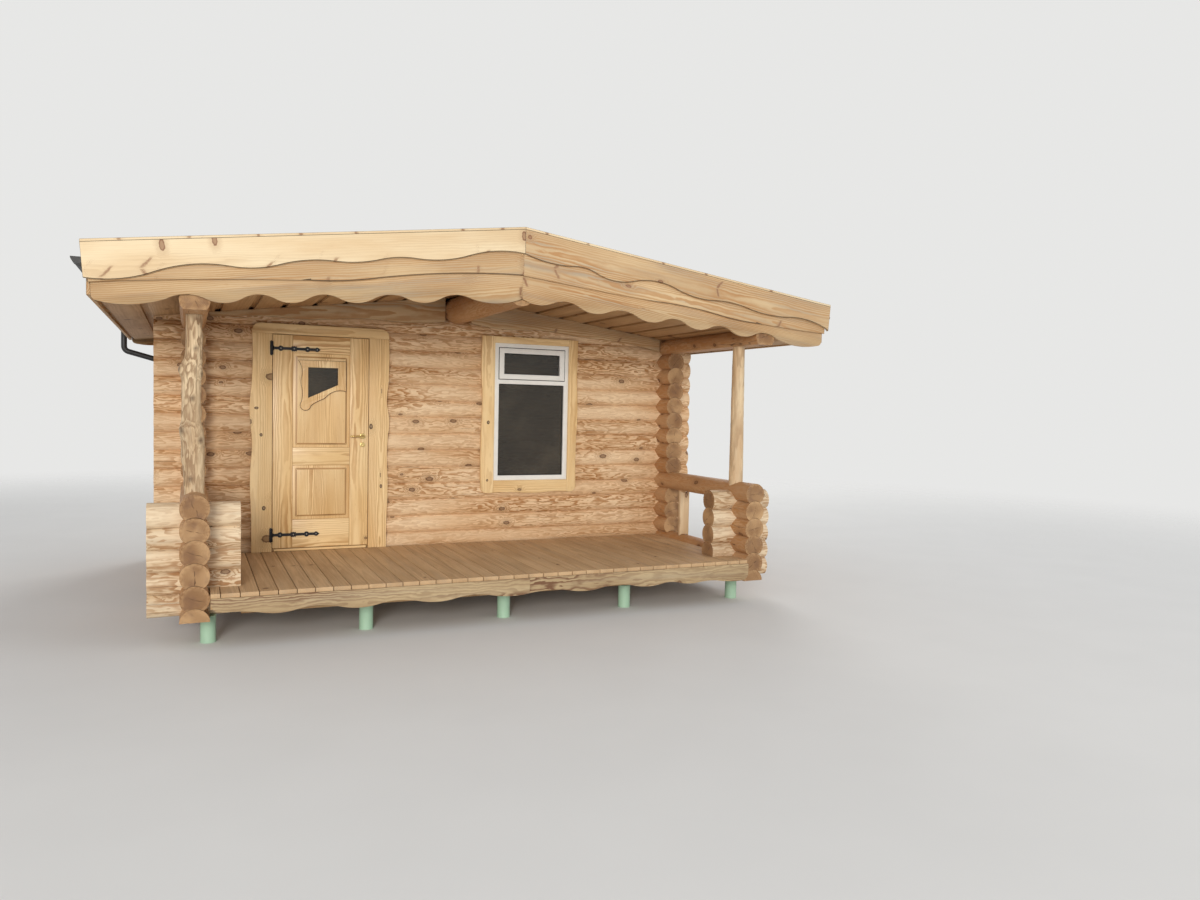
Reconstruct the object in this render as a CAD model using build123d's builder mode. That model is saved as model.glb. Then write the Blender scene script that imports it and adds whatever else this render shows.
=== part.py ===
from build123d import *
import os

# Log sauna: a log cabin with a roofed porch in front.
# The front faces -Y. X = 0 is the ridge line, Y = 0 is half way along the roof and Z = 0 is the foot
# of the piers. All sizes are in millimetres.

# Logs, 200 mm across the flats
log_d = 200
log_sides = 12
log_pitch = 160
log_fit = 0.6
corner_x = 2350
log_tail = 310
sill_z = 197
wall_rows = 14
rail_row = 4
stub_rows = 5

# Places along the building, measured in from the ends of the roof
roof_length = 4800
front_wall_in = 1988
back_wall_in = 520
stub_in = 468
deck_front_in = 115
board_in = (900, 1440)

# Deck and floor
deck_top = 400
deck_board = 30
floor_top = 415
floor_board = 30
joist_w = 60
rim_h = 80
porch_joists = 4
room_joists = 5
seat_fit = 0.5

# Roof
ridge_soffit_z = 2817
roof_rise = 0.1312
eave_x = 2965
soffit_board = 22
roof_core = 215
roof_sheet = 12
plate_seat_z = 2370
purlin_d = 260
purlin_z = 2685
eave_board = 25
eave_drop = 6

# Barge boards: depths are measured down from the line of the top edge, at the ridge and at the eave
barge_board = 25
barge_ridge_z = 3145
barge_end_x = 3020
barge_step = 25
barge_lap = 60
barge_top_depth = (190, 225)
barge_mid_depth = (355, 250)
barge_low_depth = (534, 356)
scallop = 30
lath_w = 60
lath_h = 18

# Turning points of the wavy lower edges: distance from the ridge and depth
barge_top_turns = {
    "left": (
        (210, 162), (690, 212), (1000, 180), (1260, 204),
        (1620, 175), (1980, 215), (2300, 173), (2880, 246),
    ),
    "right": (
        (300, 213), (500, 188), (750, 235), (1200, 156),
        (1570, 210), (1960, 183), (2250, 209), (2800, 174),
    ),
}
barge_mid_turns = {
    "left": ((900, 312), (1340, 329), (2000, 284)),
    "right": ((830, 333), (1600, 302), (2000, 315), (2560, 283)),
}
scallop_lows = {
    "left": (289, 779, 1284, 1729, 2162, 2646),
    "right": (140, 622, 1162, 1625, 2093, 2564),
}

# Planks between the gable walls and the roof boards: height of the lower edge over the top of the trims
plank_ridge = 111
plank_left_turns = ((500, 80), (900, 90), (1400, 52), (1800, 58))
plank_left_end = 25
plank_right_turns = ((500, 70), (900, 82), (1350, 36), (1750, 10))
plank_right_end = -71
plank_purlin_gap = 2
plank_corner_gap = 5

# Door
leaf_w = 846
leaf_h = 1933
leaf_t = 45
leaf_gap = 5
leaf_x = -1280
leaf_sill = 30
stile = 170
rail_top = 158
rail_mid = 162
rail_low = 258
panel_low_h = 497
panel_t = 20
panel_fit = 0.3
field_inset = 26
field_t = 6
field_slope = 68
jamb_t = 38
trim_t = 28
stop_t = 20
stop_w = 15
trim_top_z = 2460
trim_corner = 70

# Live edges of the door trim: height over the deck and width of the plank
door_trim_left = ((1700, 164), (1240, 188), (1000, 168), (650, 184), (250, 172))
door_trim_right = ((1650, 184), (1360, 168), (1210, 190), (950, 172), (500, 180), (200, 170))
door_head_reach = (168, 182)

# Applied surround of the door's glass: distance from the left edge and depth below the top of the leaf
surround_t = 16
surround_top = 221
surround_right_in = 39
surround_left_start = 215
surround_left_turns = ((250, 336), (240, 410), (252, 520))
surround_foot = ((244, 600), (264, 674), (325, 635))
surround_low_turns = ((380, 596), (440, 566), (500, 516))
surround_low_end = 497
glass_left = 302
glass_top = 284
glass_right_in = 70
glass_left_h = 280
glass_right_h = 155
glass_t = 12

# Strap hinges
strap_l = 400
strap_w = 16
strap_t = 4
strap_bosses = ((66, 12), (181, 15), (296, 12), (380, 10))
strap_crown = (181, 10, 44)
strap_point = 18
knuckle_d = 12
knuckle_h = 40
knuckle_gap = 1
pin_d = 6
pin_play = 0.5
pin_z = (552, 2240)
hinge_plate_w = 22
hinge_plate_h = 120
hinge_plate_end = 14

# Lever handle, roses and key plates
lever_z = 1454
lever_inset = 53
lever_l = 120
lever_d = 18
lever_tip_d = 13
lever_out = 40
neck_d = 16
spindle_d = 8
spindle_play = 1
rose_d = 50
rose_t = 8
key_z = 1374
key_d = 46
key_t = 5
key_hole = 5
key_slot_w = 2.5
key_slot_h = 14

# Window
win_w = 800
win_h = 1378
win_x = 780
win_sill_z = 1017
win_lining = 20
win_bar = 48
win_depth = 70
win_proud = 16
vent_h = 310
sash_bar = 50
sash_fit = 0.4
sash_proud = 10

# Live edges of the window trim: place along the edge and width of the plank
win_trim_side = (130, 100)
win_trim_low = 127
win_trim_corner = 65
win_trim_left_turns = ((1150, 138), (800, 124), (350, 136))
win_trim_low_turns = ((170, 120), (420, 132), (700, 119))
win_trim_right_turns = ((300, 94), (700, 106), (1100, 95))

# Posts: height over the foot, shift outwards and width
left_trunk = (
    (0, 0, 137), (300, 6, 152), (440, 13, 162), (500, 20, 163), (565, 20, 131), (850, 21, 132),
    (913, 26, 148), (950, 21, 145), (1010, 6, 122), (1070, 2, 115),
)
left_trunk_top = (-2, 113)
right_trunk = ((0, -12, 136),)
right_trunk_top = (-20, 114)
post_sides = 12

# Railing boards
board_t = 35
board_w = 110

# Skirt: turning points of its lower edge, as place across the building and depth
skirt_t = 22
skirt_corner = 70
skirt_splice_x = 120
skirt_left_end = 104
skirt_left_turns = (
    (-2020, 103), (-1830, 130), (-1520, 95), (-1230, 136), (-940, 100), (-640, 136), (-340, 100), (-60, 134),
)
skirt_middle = 122
skirt_right_turns = (
    (330, 108), (620, 138), (900, 105), (1240, 139), (1430, 115), (1630, 142), (1840, 128), (2080, 150),
)
skirt_right_end = 145

# Piers
pier_d = 110
pier_sides = 16
pier_x = (-2260, -1130, 0, 1130, 2260)
pier_set = 80

# Gutters and downpipes
gutter_r = 46
gutter_wall = 4
pipe_d = 60
pipe_wall = 3
pipe_neck = 320
pipe_fall = 190
pipe_foot_z = 330
shoe_out = 80
shoe_fall = 70

log_r = log_d / 2
first_x_row_z = sill_z + log_pitch / 2
first_y_row_z = sill_z + log_pitch
roof_front_y = -roof_length / 2
front_wall_y = roof_front_y + front_wall_in
back_wall_y = roof_length / 2 - back_wall_in
stub_y = roof_front_y + stub_in
deck_front_y = roof_front_y + deck_front_in
front_face_y = front_wall_y - log_r
roof_inner_y = roof_length / 2 - 3 * barge_board
log_front_y = stub_y - log_tail
log_back_y = back_wall_y + log_tail
log_end_x = corner_x + log_tail
opening_rows = range(1, rail_row)

door_open_w = leaf_w + 2 * leaf_gap + 2 * jamb_t
door_left = leaf_x - door_open_w / 2
door_right = leaf_x + door_open_w / 2
win_open_w = win_w + 2 * win_lining
win_left = win_x - win_open_w / 2
win_right = win_x + win_open_w / 2
door_rows = range(2, wall_rows)
win_rows = range(5, wall_rows)
open_top_z = first_x_row_z + (wall_rows - 0.5) * log_pitch
win_bottom_z = win_sill_z - win_lining
leaf_left = leaf_x - leaf_w / 2
leaf_right = leaf_x + leaf_w / 2
leaf_bottom_z = deck_top + leaf_sill
leaf_top_z = leaf_bottom_z + leaf_h
leaf_front_y = front_face_y - trim_t
leaf_back_y = leaf_front_y + leaf_t
lever_x = leaf_right - lever_inset

os.makedirs("parts", exist_ok=True)


def row_x(row):
    return first_x_row_z + row * log_pitch


def row_y(row):
    return first_y_row_z + row * log_pitch


def soffit_z(x):
    return ridge_soffit_z - roof_rise * abs(x)


def save(part, name):
    part.label = name
    export_step(part, "parts/" + name + ".step")


def plane_x(x):
    # Sketch plane across the building: sketch x is world Y, sketch y is world Z
    return Plane(origin=(x, 0, 0), x_dir=(0, 1, 0), z_dir=(1, 0, 0))


def plane_y(y):
    # Upright sketch plane: sketch x is world X, sketch y is world Z, and it extrudes towards -Y
    return Plane(origin=(0, y, 0), x_dir=(1, 0, 0), z_dir=(0, -1, 0))


def log_outline(fit=0.0, mode=Mode.ADD):
    # Hewn log: a regular polygon with flats above, below and at the sides
    RegularPolygon(log_r + fit, log_sides, major_radius=False, rotation=180 / log_sides, mode=mode)


def wavy_line(start, turns, end):
    # Live edge: one arc through each turning point, and the arcs meet half way between them
    joints = [start]
    joints += [((a[0] + b[0]) / 2, (a[1] + b[1]) / 2) for a, b in zip(turns, turns[1:])]
    joints.append(end)
    for first, middle, last in zip(joints, turns, joints[1:]):
        ThreePointArc(first, middle, last)


# Log sections: scribed over the log below, flat for a bottom log, and a half log
with BuildSketch() as scribed_log:
    log_outline()
    with Locations((0, -log_pitch)):
        log_outline(log_fit, Mode.SUBTRACT)
with BuildSketch() as flat_log:
    log_outline()
    with Locations((0, -log_pitch / 2)):
        Rectangle(2 * log_d, log_d, align=(Align.CENTER, Align.MAX), mode=Mode.SUBTRACT)
with BuildSketch() as half_log:
    log_outline()
    Rectangle(2 * log_d, log_d, align=(Align.CENTER, Align.MAX), mode=Mode.SUBTRACT)


def front_spans(row):
    # Start and end of each log of a row in the front wall, past the door and the window
    edges = [-log_end_x]
    if row in door_rows:
        edges += [door_left - seat_fit, door_right + seat_fit]
    if row in win_rows:
        edges += [win_left - seat_fit, win_right + seat_fit]
    edges.append(log_end_x)
    return [(edges[i], edges[i + 1]) for i in range(0, len(edges), 2)]


def back_spans(row):
    return [(-log_end_x, log_end_x)]


def side_spans(row):
    # Start and end of each log of a row in a side wall, with the gap in the porch railing
    if row in opening_rows:
        return [(log_front_y, stub_y + log_tail), (front_wall_y - log_tail, log_back_y)]
    if row <= rail_row:
        return [(log_front_y, log_back_y)]
    return [(front_wall_y - log_tail, log_back_y)]


def group_rows(rows, spans):
    # Rows that share a span are drawn in one sketch
    groups = {}
    for row in rows:
        for span in spans(row):
            groups.setdefault(span, []).append(row)
    return groups.items()


with BuildSketch(plane_y(roof_length)) as above_soffit:
    with BuildLine():
        Polyline(
            (-2 * eave_x, soffit_z(2 * eave_x) - seat_fit),
            (0, ridge_soffit_z - seat_fit),
            (2 * eave_x, soffit_z(2 * eave_x) - seat_fit),
            (2 * eave_x, 2 * ridge_soffit_z),
            (-2 * eave_x, 2 * ridge_soffit_z),
            close=True,
        )
    make_face()

# Front and back walls: logs along X
for wall, wall_y, spans in (
    ("front_wall", front_wall_y, front_spans),
    ("back_wall", back_wall_y, back_spans),
):
    courses = []
    for parity in (0, 1):
        with BuildPart() as course:
            for (start, end), rows in group_rows(range(parity, wall_rows + 1, 2), spans):
                with BuildSketch(plane_x(start)):
                    for row in rows:
                        with Locations((wall_y, row_x(row))):
                            add(scribed_log.sketch if row else flat_log.sketch)
                extrude(amount=end - start)
            # Saddle notches over the side logs
            with BuildSketch(plane_y(wall_y + log_tail)):
                for row in range(parity, wall_rows + 1, 2):
                    notch_z = row_x(row) - log_pitch / 2
                    with Locations((-corner_x, notch_z), (corner_x, notch_z)):
                        log_outline(log_fit)
            extrude(amount=2 * log_tail, mode=Mode.SUBTRACT)
            if parity == 1:
                # The two short top logs, one each side of the ridge purlin
                top_reach = (ridge_soffit_z - row_x(wall_rows) - log_pitch / 2) / roof_rise
                with BuildSketch(plane_x(-top_reach)):
                    with Locations((wall_y, row_x(wall_rows + 1))):
                        add(scribed_log.sketch)
                extrude(amount=2 * top_reach)
            with BuildSketch(plane_y(wall_y + log_d)):
                with Locations((0, purlin_z)):
                    Circle(purlin_d / 2 + log_fit)
            extrude(amount=2 * log_d, mode=Mode.SUBTRACT)
            extrude(above_soffit.sketch, amount=2 * roof_length, mode=Mode.SUBTRACT)
            if wall == "front_wall":
                # The door threshold and the window lining are let into the log below
                sunk = (win_x, win_open_w, win_bottom_z) if parity == 0 else (leaf_x, door_open_w, deck_top)
                with Locations((sunk[0], front_wall_y, sunk[2] - seat_fit)):
                    Box(
                        sunk[1] + 2 * seat_fit,
                        2 * log_d,
                        log_pitch,
                        align=(Align.CENTER, Align.CENTER, Align.MIN),
                        mode=Mode.SUBTRACT,
                    )
        courses.append(course.part)
    with BuildPart() as wall_logs:
        add(courses[0])
        add(courses[1])
    save(wall_logs.part, wall + "_logs")

# Side walls with the porch railing: logs along Y
for side_name, side in (("left", -1), ("right", 1)):
    side_x = side * corner_x
    courses = []
    for parity in (0, 1):
        with BuildPart() as course:
            for (start, end), rows in group_rows(range(parity, wall_rows - 1, 2), side_spans):
                with BuildSketch(plane_y(end)):
                    for row in rows:
                        with Locations((side_x, row_y(row))):
                            add(scribed_log.sketch)
                extrude(amount=end - start)
            # Saddle notches over the front, back and porch logs
            with BuildSketch(plane_x(side_x - log_tail)):
                for row in range(parity, wall_rows - 1, 2):
                    crossings = [front_wall_y, back_wall_y]
                    if row < stub_rows:
                        crossings.append(stub_y)
                    for crossing in crossings:
                        with Locations((crossing, row_y(row) - log_pitch / 2)):
                            log_outline(log_fit)
            extrude(amount=2 * log_tail, mode=Mode.SUBTRACT)
        courses.append(course.part)
    with BuildPart() as wall_logs:
        add(courses[0])
        add(courses[1])
    save(wall_logs.part, side_name + "_wall_logs")

# Short cross logs that end the railing at the front of the porch
courses = []
for parity in (0, 1):
    with BuildPart() as course:
        with BuildSketch(plane_x(-log_end_x)):
            for row in range(parity, stub_rows, 2):
                with Locations((stub_y, row_x(row))):
                    add(scribed_log.sketch if row else flat_log.sketch)
        extrude(amount=2 * log_tail)
        with BuildSketch(plane_y(stub_y + log_tail)):
            for row in range(parity, stub_rows, 2):
                with Locations((-corner_x, row_x(row) - log_pitch / 2)):
                    log_outline(log_fit)
        extrude(amount=2 * log_tail, mode=Mode.SUBTRACT)
        mirror(about=Plane.YZ)
    courses.append(course.part)
with BuildPart() as porch_logs:
    add(courses[0])
    add(courses[1])
save(porch_logs.part, "porch_corner_logs")

with BuildPart() as sill_logs:
    with BuildSketch(plane_y(log_back_y)):
        with Locations((-corner_x, sill_z), (corner_x, sill_z)):
            add(half_log.sketch)
    extrude(amount=log_back_y - log_front_y)
save(sill_logs.part, "sill_logs")

# Eave purlins: the top logs of the side walls, run on over the porch with a flat underside there
plate_z = row_y(wall_rows - 1)
with BuildPart() as eave_purlins:
    with BuildSketch(plane_y(roof_inner_y - seat_fit)):
        with Locations((-corner_x, plate_z), (corner_x, plate_z)):
            log_outline()
    extrude(amount=2 * (roof_inner_y - seat_fit))
    with BuildSketch(plane_y(roof_inner_y)):
        with Locations((-corner_x, plate_z - log_pitch), (corner_x, plate_z - log_pitch)):
            log_outline(log_fit)
    extrude(amount=roof_inner_y - front_wall_y + log_tail, mode=Mode.SUBTRACT)
    with BuildSketch(plane_x(-log_end_x)):
        for crossing in (front_wall_y, back_wall_y):
            with Locations((crossing, plate_z - log_pitch / 2)):
                log_outline(log_fit)
    extrude(amount=2 * log_end_x, mode=Mode.SUBTRACT)
    with BuildSketch(plane_y(front_wall_y - log_tail)):
        for x in (-corner_x, corner_x):
            with Locations((x, plate_seat_z)):
                Rectangle(2 * log_d, log_d, align=(Align.CENTER, Align.MAX))
    extrude(amount=roof_length, mode=Mode.SUBTRACT)
    extrude(above_soffit.sketch, amount=2 * roof_length, mode=Mode.SUBTRACT)
save(eave_purlins.part, "eave_purlins")

with BuildPart() as ridge_purlin:
    with BuildSketch(plane_y(roof_inner_y - seat_fit)):
        with Locations((0, purlin_z)):
            Circle(purlin_d / 2)
    extrude(amount=2 * (roof_inner_y - seat_fit))
save(ridge_purlin.part, "ridge_purlin")

# Posts: a natural trunk on the left and a straight pole on the right, scribed over the rail
rail_z = row_y(rail_row)
post_foot = rail_z + log_r / 2
post_h = plate_seat_z - seat_fit - post_foot
for name, side, trunk, top in (
    ("left_post", -1, left_trunk, left_trunk_top),
    ("right_post", 1, right_trunk, right_trunk_top),
):
    with BuildPart() as post:
        for height, shift, width in trunk + ((post_h,) + top,):
            with BuildSketch(Plane.XY.offset(post_foot + height)):
                with Locations((side * (corner_x + shift), stub_y)):
                    RegularPolygon(width / 2, post_sides, major_radius=False)
        loft(ruled=True)
        with BuildSketch(plane_y(stub_y + log_r)):
            with Locations((side * corner_x, rail_z)):
                log_outline(log_fit)
        extrude(amount=2 * log_r, mode=Mode.SUBTRACT)
    save(post.part, name)

# Upright boards beside the gap in each railing
with BuildPart() as railing_boards:
    board_low_z = row_y(0)
    with BuildSketch(Plane.XY.offset(board_low_z)):
        for x in (-corner_x, corner_x):
            with Locations((x, roof_front_y + board_in[0]), (x, roof_front_y + board_in[1])):
                Rectangle(board_w, board_t)
    extrude(amount=rail_z - board_low_z)
    with BuildSketch(plane_y(front_wall_y)):
        for x in (-corner_x, corner_x):
            with Locations((x, board_low_z), (x, rail_z)):
                log_outline(log_fit)
    extrude(amount=roof_length, mode=Mode.SUBTRACT)
save(railing_boards.part, "railing_boards")

# Piers under the walls, the front of the deck and the middle of the floor
front_pier_y = stub_y - pier_set
middle_pier_y = (front_wall_y + back_wall_y) / 2
with BuildPart() as piers:
    with BuildSketch():
        for y in (front_pier_y, front_wall_y, middle_pier_y, back_wall_y):
            for x in pier_x:
                with Locations((x, y)):
                    RegularPolygon(pier_d / 2, pier_sides)
    extrude(amount=sill_z - seat_fit)
save(piers.part, "piers")

# Joists across the building, between the side logs, with a shallow rim behind the skirt.
# The front one and the middle one stand on piers.
joist_half = corner_x - log_r - seat_fit
short_half = corner_x - log_tail - seat_fit
cabin_room = back_wall_y - front_wall_y - log_d
last_porch_y = front_face_y - joist_w / 2 - seat_fit
porch_step = (last_porch_y - front_pier_y) / (porch_joists - 1)
room_step = cabin_room / room_joists
with BuildPart() as joists:
    with BuildSketch(Plane.XY.offset(deck_top - deck_board - rim_h)):
        with Locations((0, deck_front_y + joist_w / 2)):
            Rectangle(2 * joist_half, joist_w)
    extrude(amount=rim_h)
    porch_ys = [front_pier_y + i * porch_step for i in range(porch_joists)]
    room_ys = [middle_pier_y + (i - room_joists // 2) * room_step for i in range(room_joists)]
    for y_list, top in ((porch_ys, deck_top - deck_board), (room_ys, floor_top - floor_board)):
        for y in y_list:
            half = short_half if y == front_pier_y else joist_half
            with BuildSketch(Plane.XY.offset(sill_z)):
                with Locations((0, y)):
                    Rectangle(2 * half, joist_w)
            extrude(amount=top - sill_z)
save(joists.part, "joists")

# Porch deck, cut round the corner logs
with BuildPart() as deck:
    with BuildSketch(Plane.XY.offset(deck_top - deck_board)):
        deck_depth = front_face_y - seat_fit - deck_front_y
        with Locations((0, deck_front_y)):
            Rectangle(2 * joist_half, deck_depth, align=(Align.CENTER, Align.MIN))
        stub_cut = 2 * log_tail + 2 * seat_fit
        with Locations((-corner_x, stub_y), (corner_x, stub_y)):
            Rectangle(stub_cut, log_d + 2 * log_fit, mode=Mode.SUBTRACT)
    extrude(amount=deck_board)
save(deck.part, "porch_deck")

with BuildPart() as floor:
    with BuildSketch(Plane.XY.offset(floor_top - floor_board)):
        with Locations((0, front_wall_y + log_r + seat_fit)):
            Rectangle(2 * joist_half, cabin_room - 2 * seat_fit, align=(Align.CENTER, Align.MIN))
    extrude(amount=floor_board)
save(floor.part, "cabin_floor")

# Wavy skirt under the front edge of the deck, in two lengths with round outer corners
skirt_top = deck_top - deck_board
with BuildPart() as skirt:
    for start, start_depth, turns, end, end_depth in (
        (-joist_half, skirt_left_end, skirt_left_turns, skirt_splice_x, skirt_middle),
        (skirt_splice_x + seat_fit, skirt_middle, skirt_right_turns, joist_half, skirt_right_end),
    ):
        with BuildSketch(plane_y(deck_front_y)) as skirt_face:
            with BuildLine():
                wavy_line(
                    (start, skirt_top - start_depth),
                    [(x, skirt_top - depth) for x, depth in turns],
                    (end, skirt_top - end_depth),
                )
                Polyline(
                    (end, skirt_top - end_depth),
                    (end, skirt_top),
                    (start, skirt_top),
                    (start, skirt_top - start_depth),
                )
            make_face()
            outer = skirt_face.vertices().group_by(Axis.X)[0 if start < 0 else -1]
            fillet(outer.sort_by(Axis.Y)[0], skirt_corner)
        extrude(amount=skirt_t)
save(skirt.part, "front_skirt")


def slope_line(z_ridge, x_start, x_end, side):
    return [(side * x, z_ridge - roof_rise * x) for x in (x_start, x_end)]


# Roof layers on each slope: boards seen from below, core and covering
layer_low = 0
for layer, thick, reach in (
    ("soffit", soffit_board, eave_x),
    ("roof_core", roof_core, eave_x),
    ("roof_covering", roof_sheet, eave_x + eave_board),
):
    for side_name, side in (("left", -1), ("right", 1)):
        with BuildPart() as slab:
            with BuildSketch(plane_y(roof_inner_y - seat_fit)):
                low = slope_line(ridge_soffit_z + layer_low, seat_fit / 2, reach, side)
                high = slope_line(ridge_soffit_z + layer_low + thick, seat_fit / 2, reach, side)
                with BuildLine():
                    Polyline(low[0], low[1], high[1], high[0], close=True)
                make_face()
            extrude(amount=2 * (roof_inner_y - seat_fit))
        save(slab.part, layer + "_" + side_name)
    layer_low += thick

with BuildPart() as eave_boards:
    eave_h = eave_drop + soffit_board + roof_core - roof_rise * eave_board
    with BuildSketch(plane_y(roof_inner_y - seat_fit)):
        for side in (-1, 1):
            with Locations((side * (eave_x + seat_fit + eave_board / 2), soffit_z(eave_x) - eave_drop)):
                Rectangle(eave_board - seat_fit, eave_h, align=(Align.CENTER, Align.MIN))
    extrude(amount=2 * (roof_inner_y - seat_fit))
save(eave_boards.part, "eave_boards")


def barge_z(x, depth):
    # Height of a point at a depth below the top edge of the barge boards
    return barge_ridge_z - roof_rise * x - depth


def mean_depth(depth, x):
    return depth[0] + (depth[1] - depth[0]) * x / barge_end_x


def scallop_turns(lows):
    # Low points of the scalloped board with a high point half way between each two
    turns = []
    for i, x in enumerate(lows):
        if i:
            high_x = (x + lows[i - 1]) / 2
            turns.append((high_x, mean_depth(barge_low_depth, high_x) - scallop))
        turns.append((x, mean_depth(barge_low_depth, x) + scallop))
    return turns


# Barge boards on both gables: three overlapping boards on each slope, the top one outermost
for name, level, depth, cover in (
    ("barge_top", 2, barge_top_depth, None),
    ("barge_middle", 1, barge_mid_depth, barge_top_depth),
    ("barge_scallop", 0, barge_low_depth, barge_mid_depth),
):
    for side_name, side in (("left", -1), ("right", 1)):
        if name == "barge_top":
            turns = barge_top_turns[side_name]
        elif name == "barge_middle":
            turns = barge_mid_turns[side_name]
        else:
            turns = scallop_turns(scallop_lows[side_name])
        start_x = seat_fit / 2
        end_x = barge_end_x - barge_step * (2 - level)
        start_high = cover[0] - barge_lap if cover else 0
        end_high = mean_depth(cover, end_x) - barge_lap if cover else 0
        with BuildPart() as barge:
            with BuildSketch(plane_y(-roof_inner_y - level * barge_board)):
                with BuildLine():
                    start = (side * start_x, barge_z(start_x, depth[0]))
                    end = (side * end_x, barge_z(end_x, mean_depth(depth, end_x)))
                    wavy_line(start, [(side * x, barge_z(x, down)) for x, down in turns], end)
                    Polyline(
                        end,
                        (side * end_x, barge_z(end_x, end_high)),
                        (side * start_x, barge_z(start_x, start_high)),
                        start,
                    )
                make_face()
            extrude(amount=barge_board - seat_fit * (level < 2))
            mirror(about=Plane.XZ)
        save(barge.part, name + "_" + side_name)

with BuildPart() as laths:
    for side in (-1, 1):
        with BuildSketch(plane_y(roof_front_y + lath_w)):
            low = slope_line(barge_ridge_z + seat_fit, seat_fit / 2, barge_end_x, side)
            high = slope_line(barge_ridge_z + seat_fit + lath_h, seat_fit / 2, barge_end_x, side)
            with BuildLine():
                Polyline(low[0], low[1], high[1], high[0], close=True)
            make_face()
        extrude(amount=lath_w)
    mirror(about=Plane.XZ)
save(laths.part, "barge_laths")

# Live-edge planks that close the joint between each gable wall and the roof boards
plank_in_x = purlin_d / 2 + plank_purlin_gap
plank_out_x = corner_x - log_r - plank_corner_gap
with BuildPart() as gable_planks:
    for plank_y in (front_face_y - seat_fit, back_wall_y + log_r + trim_t):
        for side, turns, end_height in (
            (-1, plank_left_turns, plank_left_end),
            (1, plank_right_turns, plank_right_end),
        ):
            with BuildSketch(plane_y(plank_y)):
                with BuildLine():
                    start = (side * plank_in_x, trim_top_z + plank_ridge)
                    end = (side * plank_out_x, trim_top_z + end_height)
                    wavy_line(start, [(side * x, trim_top_z + height) for x, height in turns], end)
                    Polyline(
                        end,
                        (side * plank_out_x, soffit_z(plank_out_x) - seat_fit),
                        (side * plank_in_x, soffit_z(plank_in_x) - seat_fit),
                        start,
                    )
                make_face()
            extrude(amount=trim_t - seat_fit)
save(gable_planks.part, "gable_planks")

# Gutters on both eaves, with their rims level with the top of the roof core
gutter_x = eave_x + eave_board + seat_fit + gutter_r
gutter_z = soffit_z(eave_x) + soffit_board + roof_core
with BuildPart() as gutters:
    with BuildSketch(plane_y(roof_inner_y - seat_fit)):
        with Locations((-gutter_x, gutter_z), (gutter_x, gutter_z)):
            Circle(gutter_r)
            Circle(gutter_r - gutter_wall, mode=Mode.SUBTRACT)
            Rectangle(2 * gutter_r, gutter_r, align=(Align.CENTER, Align.MIN), mode=Mode.SUBTRACT)
    extrude(amount=2 * (roof_inner_y - seat_fit))
save(gutters.part, "gutters")

# Downpipes with a swan neck from the gutter to the back ends of the side wall logs, and a shoe at the foot
pipe_r = pipe_d / 2
pipe_y = log_back_y + seat_fit + pipe_r
neck_z = gutter_z - gutter_r - pipe_neck
with BuildPart() as downpipes:
    for radius, mode in ((pipe_r, Mode.ADD), (pipe_r - pipe_wall, Mode.SUBTRACT)):
        with BuildLine() as pipe_path:
            Polyline(
                (gutter_x, pipe_y, gutter_z - gutter_r / 2),
                (gutter_x, pipe_y, neck_z),
                (corner_x, pipe_y, neck_z - pipe_fall),
                (corner_x, pipe_y, pipe_foot_z),
                (corner_x, pipe_y + shoe_out, pipe_foot_z - shoe_fall),
            )
        with BuildSketch(Plane.XY.offset(gutter_z - gutter_r / 2)):
            with Locations((gutter_x, pipe_y)):
                Circle(radius)
        sweep(path=pipe_path.wire(), transition=Transition.RIGHT, mode=mode)
    with BuildSketch(plane_y(pipe_y + pipe_r)):
        with Locations((gutter_x, gutter_z)):
            Circle(gutter_r + seat_fit)
    extrude(amount=2 * pipe_r, mode=Mode.SUBTRACT)
    mirror(about=Plane.YZ)
save(downpipes.part, "downpipes")

# Door frame with its stop, and the threshold
door_clear_w = leaf_w + 2 * leaf_gap
door_clear_h = leaf_top_z + leaf_gap - deck_top
with BuildPart() as door_frame:
    with BuildSketch(plane_y(front_wall_y + log_r)):
        with Locations((leaf_x, deck_top)):
            Rectangle(door_open_w, open_top_z - deck_top, align=(Align.CENTER, Align.MIN))
            Rectangle(door_clear_w, door_clear_h, align=(Align.CENTER, Align.MIN), mode=Mode.SUBTRACT)
    extrude(amount=log_d)
    with BuildSketch(plane_y(leaf_back_y + leaf_gap + stop_t)):
        with Locations((leaf_x, deck_top)):
            Rectangle(door_clear_w, door_clear_h, align=(Align.CENTER, Align.MIN))
            Rectangle(
                door_clear_w - 2 * stop_w,
                door_clear_h - stop_w,
                align=(Align.CENTER, Align.MIN),
                mode=Mode.SUBTRACT,
            )
    extrude(amount=stop_t)
save(door_frame.part, "door_frame")

with BuildPart() as threshold:
    with BuildSketch(plane_y(front_wall_y + log_r)):
        with Locations((leaf_x, deck_top + seat_fit)):
            Rectangle(
                door_clear_w - 2 * stop_w - 2 * seat_fit,
                leaf_sill - leaf_gap - seat_fit,
                align=(Align.CENTER, Align.MIN),
            )
    extrude(amount=log_d + trim_t)
save(threshold.part, "door_threshold")

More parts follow.
